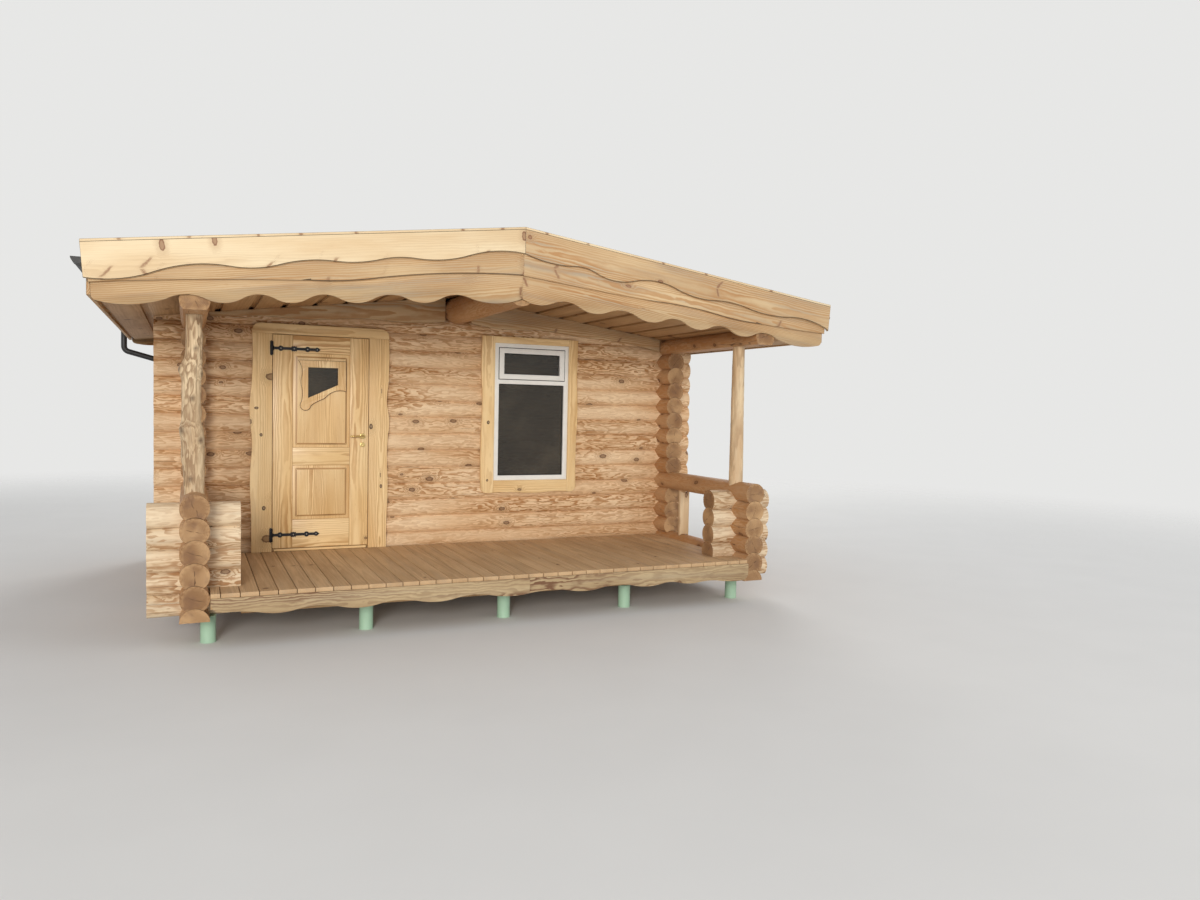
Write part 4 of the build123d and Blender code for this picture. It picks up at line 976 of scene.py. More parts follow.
def make_finishes():
    """All the materials, from the colours in the settings."""
    c = bpy.context.scene.log_sauna_colours
    knot = c.log_dark
    log = {"streak": c.log_line, "ring": 0.0095, "line": 0.95, "wander": 0.050, "curl": 0.22, "knots": 0.42,
           "knot_size": 0.020, "checks": 0.7, "relief": 0.0022}
    board = {"ring": 0.012, "wander": 0.016, "curl": 0.25, "relief": 0.0008}
    leaf = {"streak": c.trim_line, "ring": 0.011, "line": 0.85, "wander": 0.018, "knots": 0.06, "knot_size": 0.008,
            "fibre": 0.18, "change": 0.14, "coat": 0.2, "rough": 0.42, "relief": 0.0006}
    # The dark edge colour of a board finish is painted shade on its leaning edges; on the trunk it is the dark of its
    # branch scars and knots
    finishes.update(
        log=wood("peeled_log", c.log_light, c.log_mid, knot, change=0.45, **log),
        stub=wood("porch_log", c.stub_light, c.stub_mid, knot, change=0.12, grey=0.3,
                  **log | {"streak": between(c.log_line, knot, 0.25), "ring": 0.012}),
        side=wood("side_log", c.side_light, c.side_mid, knot, change=0.4, **log),
        end=wood("sawn_log_end", c.end_light, c.end_mid, knot, ring=0.010, line=0.7, wander=0.012, fibre=0.15,
                 knots=0.0, star=1.0, change=0.9, grey=0.15, rough=0.8, relief=0.0012),
        pale=wood("pale_pine_board", c.pale_light, c.pale_mid, c.pale_dark, line=0.35, knots=0.16, knot_size=0.014,
                  spikes=0.85, fibre=0.16, change=0.05, wane=(0.045, 0.026, 0.016), **board),
        tan=wood("tan_pine_board", c.tan_light, c.tan_mid, c.pale_dark, streak=c.log_line, line=0.85, knots=0.3,
                 knot_size=0.015, spikes=0.2, fibre=0.25, change=0.15, grey=0.6, wane=(0.13, 0.09, 0.055), **board),
        skirt=wood("skirt_board", c.skirt_light, c.skirt_mid, knot, streak=tone(knot, 1.2), ring=0.014,
                   line=1.0, wander=0.034, curl=0.35, knots=0.2, fibre=0.3, change=0.2, grey=0.25,
                   wane=(0.22, 0.15, 0.09)),
        trim=wood("golden_trim", c.trim_light, c.trim_mid, knot, streak=c.trim_line, line=0.6, knots=0.42,
                  knot_size=0.019, fibre=0.15, change=0.1, coat=0.06, rough=0.5, wane=(0.42, 0.24, 0.095), **board),
        door=wood("varnished_door", c.trim_light, c.trim_mid, knot, wane=(0.50, 0.275, 0.10), **leaf),
        surround=wood("varnished_surround", c.trim_light, c.trim_mid, knot, wane=(0.17, 0.08, 0.03), **leaf),
        deck=wood("deck_board", c.deck_light, c.deck_mid, knot, ring=0.009, line=0.4, wander=0.008, knots=0.22,
                  knot_size=0.010, fibre=0.4, change=0.35, grey=0.2, rough=0.68, relief=0.0012),
        soffit=wood("roof_board", c.soffit_light, c.soffit_mid, knot, ring=0.014, line=0.5, wander=0.014,
                    knots=0.4, knot_size=0.018, change=0.35, fibre=0.3),
        frame=wood("sawn_timber", between(c.soffit_light, c.pale_mid, 0.4), c.soffit_mid, knot, ring=0.010,
                   knots=0.3, fibre=0.5, change=0.25, rough=0.8),
        trunk=wood("gnarled_trunk", c.trunk_light, c.trunk_mid, knot, ring=0.013, line=0.85, wander=0.036, curl=0.4,
                   knots=0.5, knot_size=0.014, fibre=0.85, checks=0.9, change=0.1, grey=0.35, relief=0.004,
                   wane=(0.10, 0.055, 0.03)),
        pole=wood("peeled_pole", c.trunk_light, between(c.trunk_mid, c.log_mid, 0.4), knot, ring=0.009, line=0.45,
                  wander=0.016, knots=0.5, knot_size=0.014, checks=0.6, change=0.1, grey=0.2, relief=0.002),
        felt=felt("mineral_felt", c.felt),
        black=coated("black_moulding", c.black, 0.5, patch=0.3, grain=500.0, relief=0.0002),
        iron=coated("black_iron", c.black, 0.5, metal=0.35, grain=650.0, relief=0.0006, patch=0.3, wear=0.5),
        white=coated("white_moulding", c.white, 0.32, patch=0.05, grain=400.0, relief=0.0001),
        # Black rubber for the window seals, also used as painted shade in the open ends of the pipes and for the
        # strip in the gap round the vent
        seal=coated("black_seal", (0.012, 0.012, 0.012), 0.7, patch=0.3, grain=800.0),
        brass=coated("polished_brass", c.brass, 0.22, metal=1.0, patch=0.12, grain=900.0, relief=0.0001),
        zinc=coated("zinc_screw", (0.50, 0.49, 0.46), 0.42, metal=0.9, patch=0.3, grain=1500.0),
        # Near black for the bead round the door's glass surround: a painted shadow line
        burnt=coated("painted_shadow_line", c.log_dark, 0.6, patch=0.3, grain=500.0),
        # Near black for the drives of the screw and nail heads: painted shade
        recess=coated("painted_recess_shade", (0.03, 0.03, 0.03), 0.7, patch=0.3, grain=1500.0),
        green=coated("green_tube", c.green, 0.55, patch=0.18, grain=120.0, relief=0.0006),
        glass=glazing("clear_glazing", c.glass, 0.45),
    )


# ---------------------------------------------------------------- pieces


def row_x(row):
    return SILL_Z + COURSE / 2 + COURSE * row


def row_y(row):
    return SILL_Z + COURSE + COURSE * row


def log_lines(specs, seed):
    """Centre lines of logs with an attribute set each: (axis, start, end, across, level, floor)."""
    step = bpy.context.scene.log_sauna_sizes.ring_step
    rng = np.random.default_rng(seed)
    lines = []
    for axis, start, end, across, level, floor in specs:
        count = max(2, round((end - start) / step))
        stations = [start, start + 0.005] + [
            start + (end - start) * i / count for i in range(1, count)
        ] + [end - 0.005, end]
        big, small = (0.999, 0.985) if rng.uniform() < 0.5 else (0.985, 0.999)
        girths = []
        swell = float(rng.uniform(0.0, 90.0))
        for i, s in enumerate(stations):
            share = (s - start) / (end - start)
            uneven = 0.994 + 0.012 * min(0.5, noise.noise(Vector((s * 1.7, swell, 0.0))))
            girths.append((big + (small - big) * share) * uneven * (0.955 if i in (0, len(stations) - 1) else 1.0))
        if axis == "X":
            points = [(s, across, level) for s in stations]
        else:
            points = [(across, s, level) for s in stations]
        lines.append((points, {"girth": girths, "seed": float(rng.uniform(0.02, 0.98)), "floor": floor}))
    return lines


def make_logs(name, node, specs, wood_name, seed, clamp=None):
    sizes = bpy.context.scene.log_sauna_sizes
    tree = bpy.data.node_groups.get("hewn_logs") or log_tree()
    base = lines_mesh(name + "_lines", log_lines(specs, seed))
    mesh = grow(
        name, tree, base, radius=sizes.log_radius, course_height=sizes.course, hewing_depth=sizes.hewing,
        pattern_seed=float(seed), wood=finishes[wood_name], end_wood=finishes["end"],
    )
    points = read_points(mesh)
    if clamp:
        points = clamp(points)
    roof = RIDGE_SOFFIT - ROOF_FALL * np.abs(points[:, 0]) - 0.001
    points[:, 2] = np.minimum(points[:, 2], roof)
    write_points(mesh, points)
    return place_piece(name, mesh, "cabin", [node], smooth=40.0)


# Where the underside of a log is flat, from its middle; a scribed log is hollowed over the log below
SCRIBED = -10.0
FLAT = -0.08
ROUND = -1.0
HALF = 0.0


def front_specs():
    end = CORNER_X + TAIL
    specs = []
    for row in range(WALL_ROWS + 1):
        edges = [-end]
        if DOOR_ROW <= row < WALL_ROWS:
            edges += DOOR_GAP
        if WINDOW_ROW <= row < WALL_ROWS:
            edges += WINDOW_GAP
        edges.append(end)
        floor = SCRIBED if row else FLAT
        specs += [("X", edges[i], edges[i + 1], FRONT_Y, row_x(row), floor) for i in range(0, len(edges), 2)]
    return specs + top_specs(FRONT_Y)


def top_specs(wall_y):
    """The two short top logs, one each side of the ridge purlin."""
    reach = (RIDGE_SOFFIT - row_x(WALL_ROWS) - COURSE / 2) / ROOF_FALL
    level = row_x(WALL_ROWS + 1)
    return [("X", -reach, -0.12, wall_y, level, SCRIBED), ("X", 0.12, reach, wall_y, level, SCRIBED)]


def side_specs(x):
    front = STUB_Y - TAIL
    back = BACK_Y + TAIL
    specs = []
    for row in range(WALL_ROWS - 1):
        if 1 <= row < RAIL_ROW:
            spans = [(front, STUB_Y + TAIL), (FRONT_Y - TAIL, back)]
        elif row <= RAIL_ROW:
            spans = [(front, back)]
        else:
            spans = [(FRONT_Y - TAIL, back)]
        specs += [("Y", start, end, x, row_y(row), SCRIBED) for start, end in spans]
    return specs


def sunk_openings(points):
    """The log below the door and the one below the window are cut level for them."""
    door = (points[:, 0] > DOOR_GAP[0]) & (points[:, 0] < DOOR_GAP[1])
    points[door, 2] = np.where(points[door, 2] < 0.56, np.minimum(points[door, 2], DECK_TOP), points[door, 2])
    window = (points[:, 0] > WINDOW_GAP[0]) & (points[:, 0] < WINDOW_GAP[1])
    low = window & (points[:, 2] < 1.05)
    points[low, 2] = np.minimum(points[low, 2], 0.997)
    return points


def plate_underside(points):
    """The eave purlins are cut level below, over the porch and over the tops of the posts."""
    porch = points[:, 1] < FRONT_Y - TAIL
    points[porch, 2] = np.maximum(points[porch, 2], PLATE_SEAT)
    return points


class LogSaunaOperator(bpy.types.Operator):
    """Shared by the pieces' operators."""

    bl_options = {"REGISTER", "UNDO"}

    def execute(self, context):
        self.build(context.scene.log_sauna_sizes)
        return {"FINISHED"}


class LOGSAUNA_OT_finishes(LogSaunaOperator):
    """Makes the materials of the wood, metal, plastic, felt and glass"""

    bl_idname = "log_sauna.finishes"
    bl_label = "Finishes"

    def build(self, sizes):
        make_finishes()


class LOGSAUNA_OT_walls(LogSaunaOperator):
    """Builds the log courses of the four walls with the porch railing"""

    bl_idname = "log_sauna.walls"
    bl_label = "Log walls"

    def build(self, sizes):
        end = CORNER_X + TAIL
        back = [("X", -end, end, BACK_Y, row_x(row), SCRIBED if row else FLAT) for row in range(WALL_ROWS + 1)]
        make_logs("front_wall_courses", "front_wall_logs", front_specs(), "log", 11, sunk_openings)
        make_logs("back_wall_courses", "back_wall_logs", back + top_specs(BACK_Y), "log", 12)
        make_logs("left_wall_courses", "left_wall_logs", side_specs(-CORNER_X), "side", 13)
        make_logs("right_wall_courses", "right_wall_logs", side_specs(CORNER_X), "side", 14)


class LOGSAUNA_OT_corners(LogSaunaOperator):
    """Builds the short cross logs of the porch corners and the half-round sill logs"""

    bl_idname = "log_sauna.corners"
    bl_label = "Corner and sill logs"

    def build(self, sizes):
        stubs = []
        sills = []
        for side, _ in SIDES:
            x = side * CORNER_X
            for row in range(STUB_ROWS):
                floor = SCRIBED if row else FLAT
                stubs.append(("X", x - TAIL, x + TAIL, STUB_Y, row_x(row), floor))
            sills.append(("Y", STUB_Y - TAIL, BACK_Y + TAIL, x, SILL_Z, HALF))
        make_logs("porch_corner_courses", "porch_corner_logs", stubs, "stub", 15)
        make_logs("sill_log_pair", "sill_logs", sills, "side", 16)


class LOGSAUNA_OT_purlins(LogSaunaOperator):
    """Builds the ridge purlin and the two eave purlins"""

    bl_idname = "log_sauna.purlins"
    bl_label = "Purlins"

    def build(self, sizes):
        level = row_y(WALL_ROWS - 1)
        plates = [("Y", -ROOF_END_Y, ROOF_END_Y, side * CORNER_X, level, -0.09) for side, _ in SIDES]
        make_logs("eave_purlin_pair", "eave_purlins", plates, "side", 17, plate_underside)
        tree = bpy.data.node_groups["hewn_logs"]
        base = lines_mesh("ridge_line", log_lines([("Y", -ROOF_END_Y, ROOF_END_Y, 0.0, 2.685, ROUND)], 18))
        mesh = grow(
            "ridge_purlin_log", tree, base, radius=0.1295, course_height=sizes.course, facets=32,
            hewing_depth=sizes.hewing, pattern_seed=18.0, wood=finishes["side"], end_wood=finishes["end"],
        )
        place_piece("ridge_purlin_log", mesh, "cabin", ["ridge_purlin"], smooth=40.0)


def trunk_mesh(name, stations, centre, rng_seed, lumps, finish, sides=36):
    """A standing trunk: rings round a wandering pith, with lumps where branches were cut."""
    heights, shifts, radii = zip(*stations)
    foot, top = heights[0], heights[-1]
    rows = int((top - foot) / 0.016)
    verts, places, scars = [], [], []
    for i in range(rows + 1):
        z = foot + (top - foot) * i / rows
        shift = np.interp(z, heights, shifts)
        radius = np.interp(z, heights, radii)
        for k in range(sides):
            angle = 2 * math.pi * k / sides
            direction = Vector((math.cos(angle), math.sin(angle), 0.0))
            spot = Vector((direction.x * 1.6, direction.y * 1.6, z * 5.0 + rng_seed))
            out = radius * (0.985 + 0.03 * (noise.noise(spot) - 0.3))
            out += 0.0022 * noise.noise(Vector((direction.x * 7.0, direction.y * 7.0, z * 14.0 + rng_seed)))
            scar = 0.0
            for lump_z, lump_angle, size, depth in lumps:
                turn = math.atan2(math.sin(angle - lump_angle), math.cos(angle - lump_angle)) * radius
                away = math.hypot(turn, (z - lump_z) * 0.8) / size
                out += depth * 1.15 * math.exp(-away * away * 1.6)
                scar = max(scar, 0.95 * math.exp(-away * away * 6.0))
                if away < 0.45:
                    out -= depth * 0.6 * (1 - away / 0.45)
            scars.append(scar)
            verts.append((centre[0] + shift + direction.x * out, centre[1] + direction.y * out, z))
            places.append((z, direction.x * out, direction.y * out))
    mesh = solid_mesh(name, verts, ring_faces(rows, sides), finish)
    set_wood(mesh, np.array(places), np.full(len(places), 0.37 + 0.1 * (rng_seed % 5)), scars)
    return mesh


class LOGSAUNA_OT_posts(LogSaunaOperator):
    """Builds the gnarled trunk on the left and the peeled pole on the right"""

    bl_idname = "log_sauna.posts"
    bl_label = "Porch posts"

    def build(self, sizes):
        foot = row_y(RAIL_ROW) + 0.05
        trunk = (
            (0, 0, 137), (300, 6, 152), (440, 13, 162), (500, 20, 163), (565, 20, 131), (850, 21, 132),
            (913, 26, 148), (950, 21, 145), (1010, 6, 122), (1070, 2, 115), (1323, -2, 113),
        )
        left = [(foot + z / 1000, -shift / 1000, width / 2000) for z, shift, width in trunk]
        lumps = [
            (foot + 0.14, -1.9, 0.035, 0.008), (foot + 0.29, 3.0, 0.045, 0.012), (foot + 0.42, -0.9, 0.05, 0.012),
            (foot + 0.49, -2.4, 0.05, 0.014), (foot + 0.62, 0.3, 0.035, 0.009), (foot + 0.72, -1.5, 0.035, 0.008),
            (foot + 0.90, -0.4, 0.045, 0.013), (foot + 0.93, -2.9, 0.04, 0.012), (foot + 1.08, -1.4, 0.03, 0.006),
            (foot + 1.17, 0.2, 0.03, 0.006), (foot + 0.2, 1.4, 0.04, 0.008), (foot + 0.8, 1.9, 0.04, 0.010),
        ]
        left[-1] = (PLATE_SEAT - 0.0005, -left[-1][1], left[-1][2])
        mesh = trunk_mesh("gnarled_post", left, (-CORNER_X, STUB_Y), 2.0, lumps, "trunk")
        place_piece("gnarled_post", mesh, "cabin", ["left_post"], smooth=50.0)
        right = [(foot, -0.012, 0.068), (PLATE_SEAT - 0.0005, -0.020, 0.057)]
        knots = [
            (foot + 0.18, -1.2, 0.02, 0.003), (foot + 0.55, -2.2, 0.02, 0.003), (foot + 0.83, -1.0, 0.02, 0.003),
            (foot + 1.1, -1.8, 0.02, 0.003),
        ]
        mesh = trunk_mesh("peeled_pole_post", right, (CORNER_X, STUB_Y), 7.0, knots, "pole")
        place_piece("peeled_pole_post", mesh, "cabin", ["right_post"], smooth=50.0)
        dress_boards("railing_uprights", "railing_boards", "pole", "post_wood", 0.003, seed=4)


def lay_boards(name, material, seed, **values):
    tree = bpy.data.node_groups.get("laid_boards") or board_tree()
    return grow(name, tree, pattern_seed=seed, wood=finishes[material], **values)


class LOGSAUNA_OT_deck(LogSaunaOperator):
    """Lays the porch deck and the cabin floor, board by board"""

    bl_idname = "log_sauna.deck"
    bl_label = "Deck and floor boards"

    def build(self, sizes):
        low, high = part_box("porch_deck")
        pitch = sizes.deck_pitch
        first = FIRST_DECK_GAP - pitch * math.ceil((FIRST_DECK_GAP - low.x) / pitch) + pitch / 2
        count = math.ceil((high.x - first + pitch / 2) / pitch)
        mesh = lay_boards(
            "deck_boards", "deck", 5,
            start=(first, low.y, (low.z + high.z) / 2), pitch=(pitch, 0.0, 0.0), count=count,
            run=(0.0, high.y - low.y, 0.0), width=pitch - sizes.deck_gap, thickness=high.z - low.z,
            edge_radius=0.003,
        )
        points = read_points(mesh)
        points[:, 0] = np.clip(points[:, 0], low.x, high.x)
        write_points(mesh, points)
        place_piece("deck_boards", mesh, "cabin", ["porch_deck"])
        low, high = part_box("cabin_floor")
        count = round((high.y - low.y) / sizes.floor_pitch)
        pitch = (high.y - low.y) / count
        mesh = lay_boards(
            "floor_boards", "frame", 6,
            start=(low.x, low.y + pitch / 2, (low.z + high.z) / 2), pitch=(0.0, pitch, 0.0), count=count,
            run=(high.x - low.x, 0.0, 0.0), width=pitch - 0.001, thickness=high.z - low.z, edge_radius=0.002,
        )
        place_piece("floor_boards", mesh, "cabin", ["cabin_floor"])


class LOGSAUNA_OT_base(LogSaunaOperator):
    """Builds the wavy skirt, the joists and the green tube piers"""

    bl_idname = "log_sauna.base"
    bl_label = "Skirt, joists and piers"

    def build(self, sizes):
        dress_boards("wavy_skirt", "front_skirt", "skirt", "pale_wood", 0.002, 0.008, direction=ALONG_X, seed=7)
        dress_boards("joist_set", "joists", "frame", "frame_wood", 0.002, direction=ALONG_X, seed=8, segments=1)
        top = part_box("piers")[1].z
        profile = ((0.0, 0.0537), (0.012, 0.0539), (0.014, 0.0532), (top - 0.03, 0.0530), (top - 0.028, 0.0539),
                   (top - 0.002, 0.0539), (top, 0.0532))
        sides = 32
        verts, faces = [], []
        for y in PIER_ROWS:
            for x in PIER_COLUMNS:
                faces += ring_faces(len(profile) - 1, sides, len(verts))
                verts += [
                    (x + radius * math.cos(math.tau * k / sides), y + radius * math.sin(math.tau * k / sides), z)
                    for z, radius in profile for k in range(sides)
                ]
        mesh = solid_mesh("tube_piers", verts, faces, "green")
        place_piece("tube_piers", mesh, "cabin", ["piers"])


class LOGSAUNA_OT_roof(LogSaunaOperator):
    """Lays the boards under the roof, its core, the felt and the eave boards"""

    bl_idname = "log_sauna.roof"
    bl_label = "Roof boards and felt"

    def build(self, sizes):
        pitch = sizes.soffit_pitch
        fall = math.atan(ROOF_FALL)
        cos = math.cos(fall)
        for side, label in SIDES:
            count = math.ceil(EAVE_X / (pitch * cos))
            step = EAVE_X / count
            middle = step / 2
            mesh = lay_boards(
                "roof_boards_" + label, "soffit", 20 + side,
                start=(side * middle, -ROOF_END_Y, RIDGE_SOFFIT - ROOF_FALL * middle + 0.011),
                pitch=(side * step, 0.0, -ROOF_FALL * step), count=count, run=(0.0, 2 * ROOF_END_Y, 0.0),
                width=step / cos - sizes.soffit_gap, thickness=0.0215, edge_radius=0.004, tilt=side * fall,
            )
            place_piece("roof_boards_" + label, mesh, "cabin", ["soffit_" + label])
            dress_boards(
                "roof_filling_" + label, "roof_core_" + label, "soffit", "frame_wood", 0.0, direction=ALONG_Y, seed=9,
            )
            dress_node("roof_covering_" + label, "felt")
            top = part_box("roof_covering_" + label)[1].z
            count = math.ceil((EAVE_X - 0.1) / sizes.felt_lap)
            mesh = lay_boards(
                "felt_laps_" + label, "felt", 24 + side, start=(side * 0.075, -ROOF_END_Y, top - ROOF_FALL * 0.075),
                pitch=(side * sizes.felt_lap, 0.0, -ROOF_FALL * sizes.felt_lap), count=count,
                run=(0.0, 2 * ROOF_END_Y, 0.0), width=0.15, thickness=0.006, edge_radius=0.001, tilt=side * fall,
            )
            place_piece("felt_laps_" + label, mesh, "cabin")
        dress_boards("eave_fascia", "eave_boards", "tan", "pale_wood", 0.002, direction=ALONG_Y, seed=10)


class LOGSAUNA_OT_barges(LogSaunaOperator):
    """Finishes the three rows of barge boards and the capping laths on both gables"""

    bl_idname = "log_sauna.barges"
    bl_label = "Barge boards"

    def build(self, sizes):
        for row, (level, live, corner, rake, finish) in enumerate((
            ("top", 0.009, 0.0, 0.08, "pale"), ("middle", 0.014, 0.0, 0.05, "tan"),
            ("scallop", 0.004, 0.045, 0.02, "tan"),
        )):
            for side, label in SIDES:
                dress_boards(
                    f"board_{level}_{label}", f"barge_{level}_{label}", finish if side < 0 else "tan", "pale_wood",
                    0.0015, live, direction=(1, 0, -side * ROOF_FALL), seed=30 + 2 * row + (side < 0), corner=corner,
                    rake=rake,
                )
        dress_boards("capping_laths", "barge_laths", "pale", "pale_wood", 0.0015, seed=40)
        dress_boards("gable_infill_planks", "gable_planks", "tan", "trim_wood", 0.0015, 0.006, seed=41)


def outline_of(node, least_width):
    """The front outlines of a CAD node that are wider than a given width, as a mesh of lines."""
    bm = eased_copy(node, 0.0)
    inner = [
        e for e in bm.edges
        if not any(f.normal.y < -0.9 for f in e.link_faces) or not any(abs(f.normal.y) < 0.1 for f in e.link_faces)
    ]
    bmesh.ops.delete(bm, geom=inner, context="EDGES")
    for group in islands(bm):
        if max(v.co.x for v in group) - min(v.co.x for v in group) < least_width:
            bmesh.ops.delete(bm, geom=group, context="VERTS")
    mesh = bpy.data.meshes.new(node + "_outline")
    bm.to_mesh(mesh)
    bm.free()
    return mesh


def knot_discs(name, spots, front):
    """Domed branch knots with a dark ring, a little proud of a plank: (x, z, half width, half height)."""
    rings = ((1.0, -0.0005, 0.7), (1.0, 0.0002, 0.7), (0.85, 0.0018, 1.0), (0.6, 0.003, 0.85), (0.3, 0.0022, 0.15))
    verts, faces, scars, places = [], [], [], []
    sides = 20
    for x, z, wide, tall in spots:
        faces += ring_faces(len(rings) - 1, sides, len(verts))
        for share, out, scar in rings:
            for k in range(sides):
                turn = math.tau * k / sides
                uneven = 1.0 + 0.12 * noise.noise(Vector((math.cos(turn) + x * 9.0, math.sin(turn), z * 9.0)))
                side, lift = math.cos(turn) * wide * share * uneven, math.sin(turn) * tall * share * uneven
                verts.append((x + side, front - out, z + lift))
                places.append((out * 3.0, side, lift))
                scars.append(scar)
    mesh = solid_mesh(name, verts, faces, "trunk")
    set_wood(mesh, np.array(places), np.full(len(places), 0.4), scars)
    return mesh


class LOGSAUNA_OT_door(LogSaunaOperator):
    """Builds the door with its frame, trim, panels and glass"""

    bl_idname = "log_sauna.door"
    bl_label = "Door"

    def build(self, sizes):
        for name, node, body, finish, ease, live, way, seed in (
            ("door_lining", "door_frame", "cabin", "trim", 0.0015, 0.0, ALONG_Z, 50),
            ("door_sill", "door_threshold", "cabin", "trim", 0.003, 0.0, ALONG_X, 51),
            ("door_planks", "door_trim", "cabin", "trim", 0.002, 0.007, None, 52),
            ("panel_boards", "door_panels", "door", "door", 0.0012, 0.0, ALONG_Z, 53),
            ("glass_surround", "door_surround", "door", "surround", 0.0012, 0.0035, ALONG_Z, 54),
        ):
            slot = "trim_wood" if body == "cabin" else "door_wood"
            # The glass surround gets painted shade on all its side faces, not only on the leaning ones
            dress_boards(name, node, finish, slot, ease, live, body, way, seed, shade_sides=finish == "surround")
        left, right, low, high = LEAF
        front, back = LEAF_Y
        inner_left, inner_right = left + 0.17, right - 0.17
        stiles = [((left, front, low), (inner_left, back, high)), ((inner_right, front, low), (right, back, high))]
        rails = [
            ((inner_left, front + 0.0004, a), (inner_right, back - 0.0004, b))
            for a, b in ((low, low + 0.258), (low + 0.755, low + 0.917), (high - 0.158, high))
        ]
        for name, boxes, way, seed in (("leaf_stiles", stiles, ALONG_Z, 55), ("leaf_rails", rails, ALONG_X, 56)):
            mesh = board_mesh(name, boxes_mesh(boxes, 0.0018), "door", way, seed)
            place_piece(name, mesh, "door", ["door_leaf"])
        dress_node("door_glass", "glass")
        # A thin dark bead round the front outline of the glass surround: a painted shadow line along its edge
        edge = outline_of("door_surround", 0.3)
        mesh = grow("surround_edge", bead_tree(), edge, bead_radius=0.0021, finish=finishes["burnt"])
        place_piece("surround_edge", mesh, "door")
        spots = (
            (-0.832, 1.545, 0.016, 0.026), (-1.800, 1.46, 0.013, 0.016), (-1.775, 0.80, 0.016, 0.020),
            (-1.84, 1.70, 0.018, 0.012), (-0.735, 0.98, 0.013, 0.018), (0.318, 1.60, 0.015, 0.019),
            (0.315, 1.02, 0.011, 0.013),
        )
        place_piece("plank_knots", knot_discs("plank_knots", spots, -0.54), "cabin")


STRAP_BULGES = ((0.066, 0.024), (0.181, 0.023), (0.296, 0.024), (0.380, 0.020))


def strap_half_height(along):
    """Half height of an ornate strap: a bar with round bulges, a pointed pair of leaves and a pointed end."""
    half = 0.0125
    for centre, radius in STRAP_BULGES:
        away = abs(along - centre)
        if away < radius:
            half = max(half, math.sqrt(radius * radius - away * away))
    for centre in (0.163, 0.199):
        half = max(half, 0.027 - abs(along - centre) * 2.2)
    return min(half, max(0.0, (0.4095 - along) * 0.9))


def strap_hinges():
    """The knuckles of the hinges, with the ornate straps in place of the plain ones."""
    bm = eased_copy("door_straps", 0.0009)
    bar = [v for v in bm.verts if v.co.x > LEAF[0] + 0.010]
    bmesh.ops.delete(bm, geom=bar, context="VERTS")
    bmesh.ops.holes_fill(bm, edges=[e for e in bm.edges if e.is_boundary])
    front, back = LEAF_Y[0] - 0.0043, LEAF_Y[0] - 0.0003
    for z in HINGE_HEIGHTS:
        stations = [0.002 + 0.0035 * k for k in range(117)]
        top = [(LEAF[0] + a, z + strap_half_height(a)) for a in stations]
        low = [(LEAF[0] + a, z - strap_half_height(a)) for a in reversed(stations)]
        outline = top + [(LEAF[0] + 0.4095, z)] + low
        face = bm.faces.new([bm.verts.new((x, front, h)) for x, h in outline])
        made = bmesh.ops.extrude_face_region(bm, geom=[face])
        for vert in made["geom"]:
            if isinstance(vert, bmesh.types.BMVert):
                vert.co.y = back
    bmesh.ops.recalc_face_normals(bm, faces=bm.faces)
    return bm


class LOGSAUNA_OT_ironwork(LogSaunaOperator):
    """Finishes the strap hinges, their plates, the lever and its roses"""

    bl_idname = "log_sauna.ironwork"
    bl_label = "Hinges and lever"

    def build(self, sizes):
        for name, node, body, slot, finish in (
            ("hinge_plate_pair", "hinge_plates", "cabin", "black_iron", "iron"),
            ("lever_arms", "door_lever", "lever", "brass", "brass"),
            ("rose_set", "lever_roses", "door", "brass", "brass"),
        ):
            dress_plain(name, node, finish, 0.0009, body)
        mesh = plain_mesh("strap_hinges", strap_hinges(), "iron")
        place_piece("strap_hinges", mesh, "door", ["door_straps"])


class LOGSAUNA_OT_window(LogSaunaOperator):
    """Builds the white window with its vent, seals, glass and trim"""

    bl_idname = "log_sauna.window"
    bl_label = "Window"

    def build(self, sizes):
        dress_plain("white_frame", "window_frame", "white", 0.003)
        dress_plain("vent_frame", "vent_sash", "white", 0.003)
        dress_boards("window_reveal", "window_lining", "trim", "trim_wood", 0.0015, seed=60)
        planks = cut_boards(eased_copy("window_trim", 0.002, 0.007), TRIM_JOINTS)
        mesh = board_mesh("window_planks", planks, "trim", seed=60)
        place_piece("window_planks", mesh, "cabin", ["window_trim"])
        dress_node("window_glass", "glass")
        # Rubber seals round the two panes, and a dark strip in the gap round the vent
        strips = []
        for left, right, bottom, top, front, width in (
            (0.4288, 1.1312, 1.0658, 1.9882, -0.506, 0.007), (0.4792, 1.0808, 2.0882, 2.2958, -0.506, 0.007),
            (0.4215, 1.1385, 2.0305, 2.3535, -0.5305, 0.0068),
        ):
            back = front + 0.0068 if front > -0.52 else front + 0.0024
            strips += [
                ((left, front, bottom), (left + width, back, top)),
                ((right - width, front, bottom), (right, back, top)),
                ((left + width, front, bottom), (right - width, back, bottom + width)),
                ((left + width, front, top - width), (right - width, back, top)),
            ]
        mesh = plain_mesh("rubber_seals", boxes_mesh(strips, 0.0008), "seal")
        place_piece("rubber_seals", mesh, "cabin")


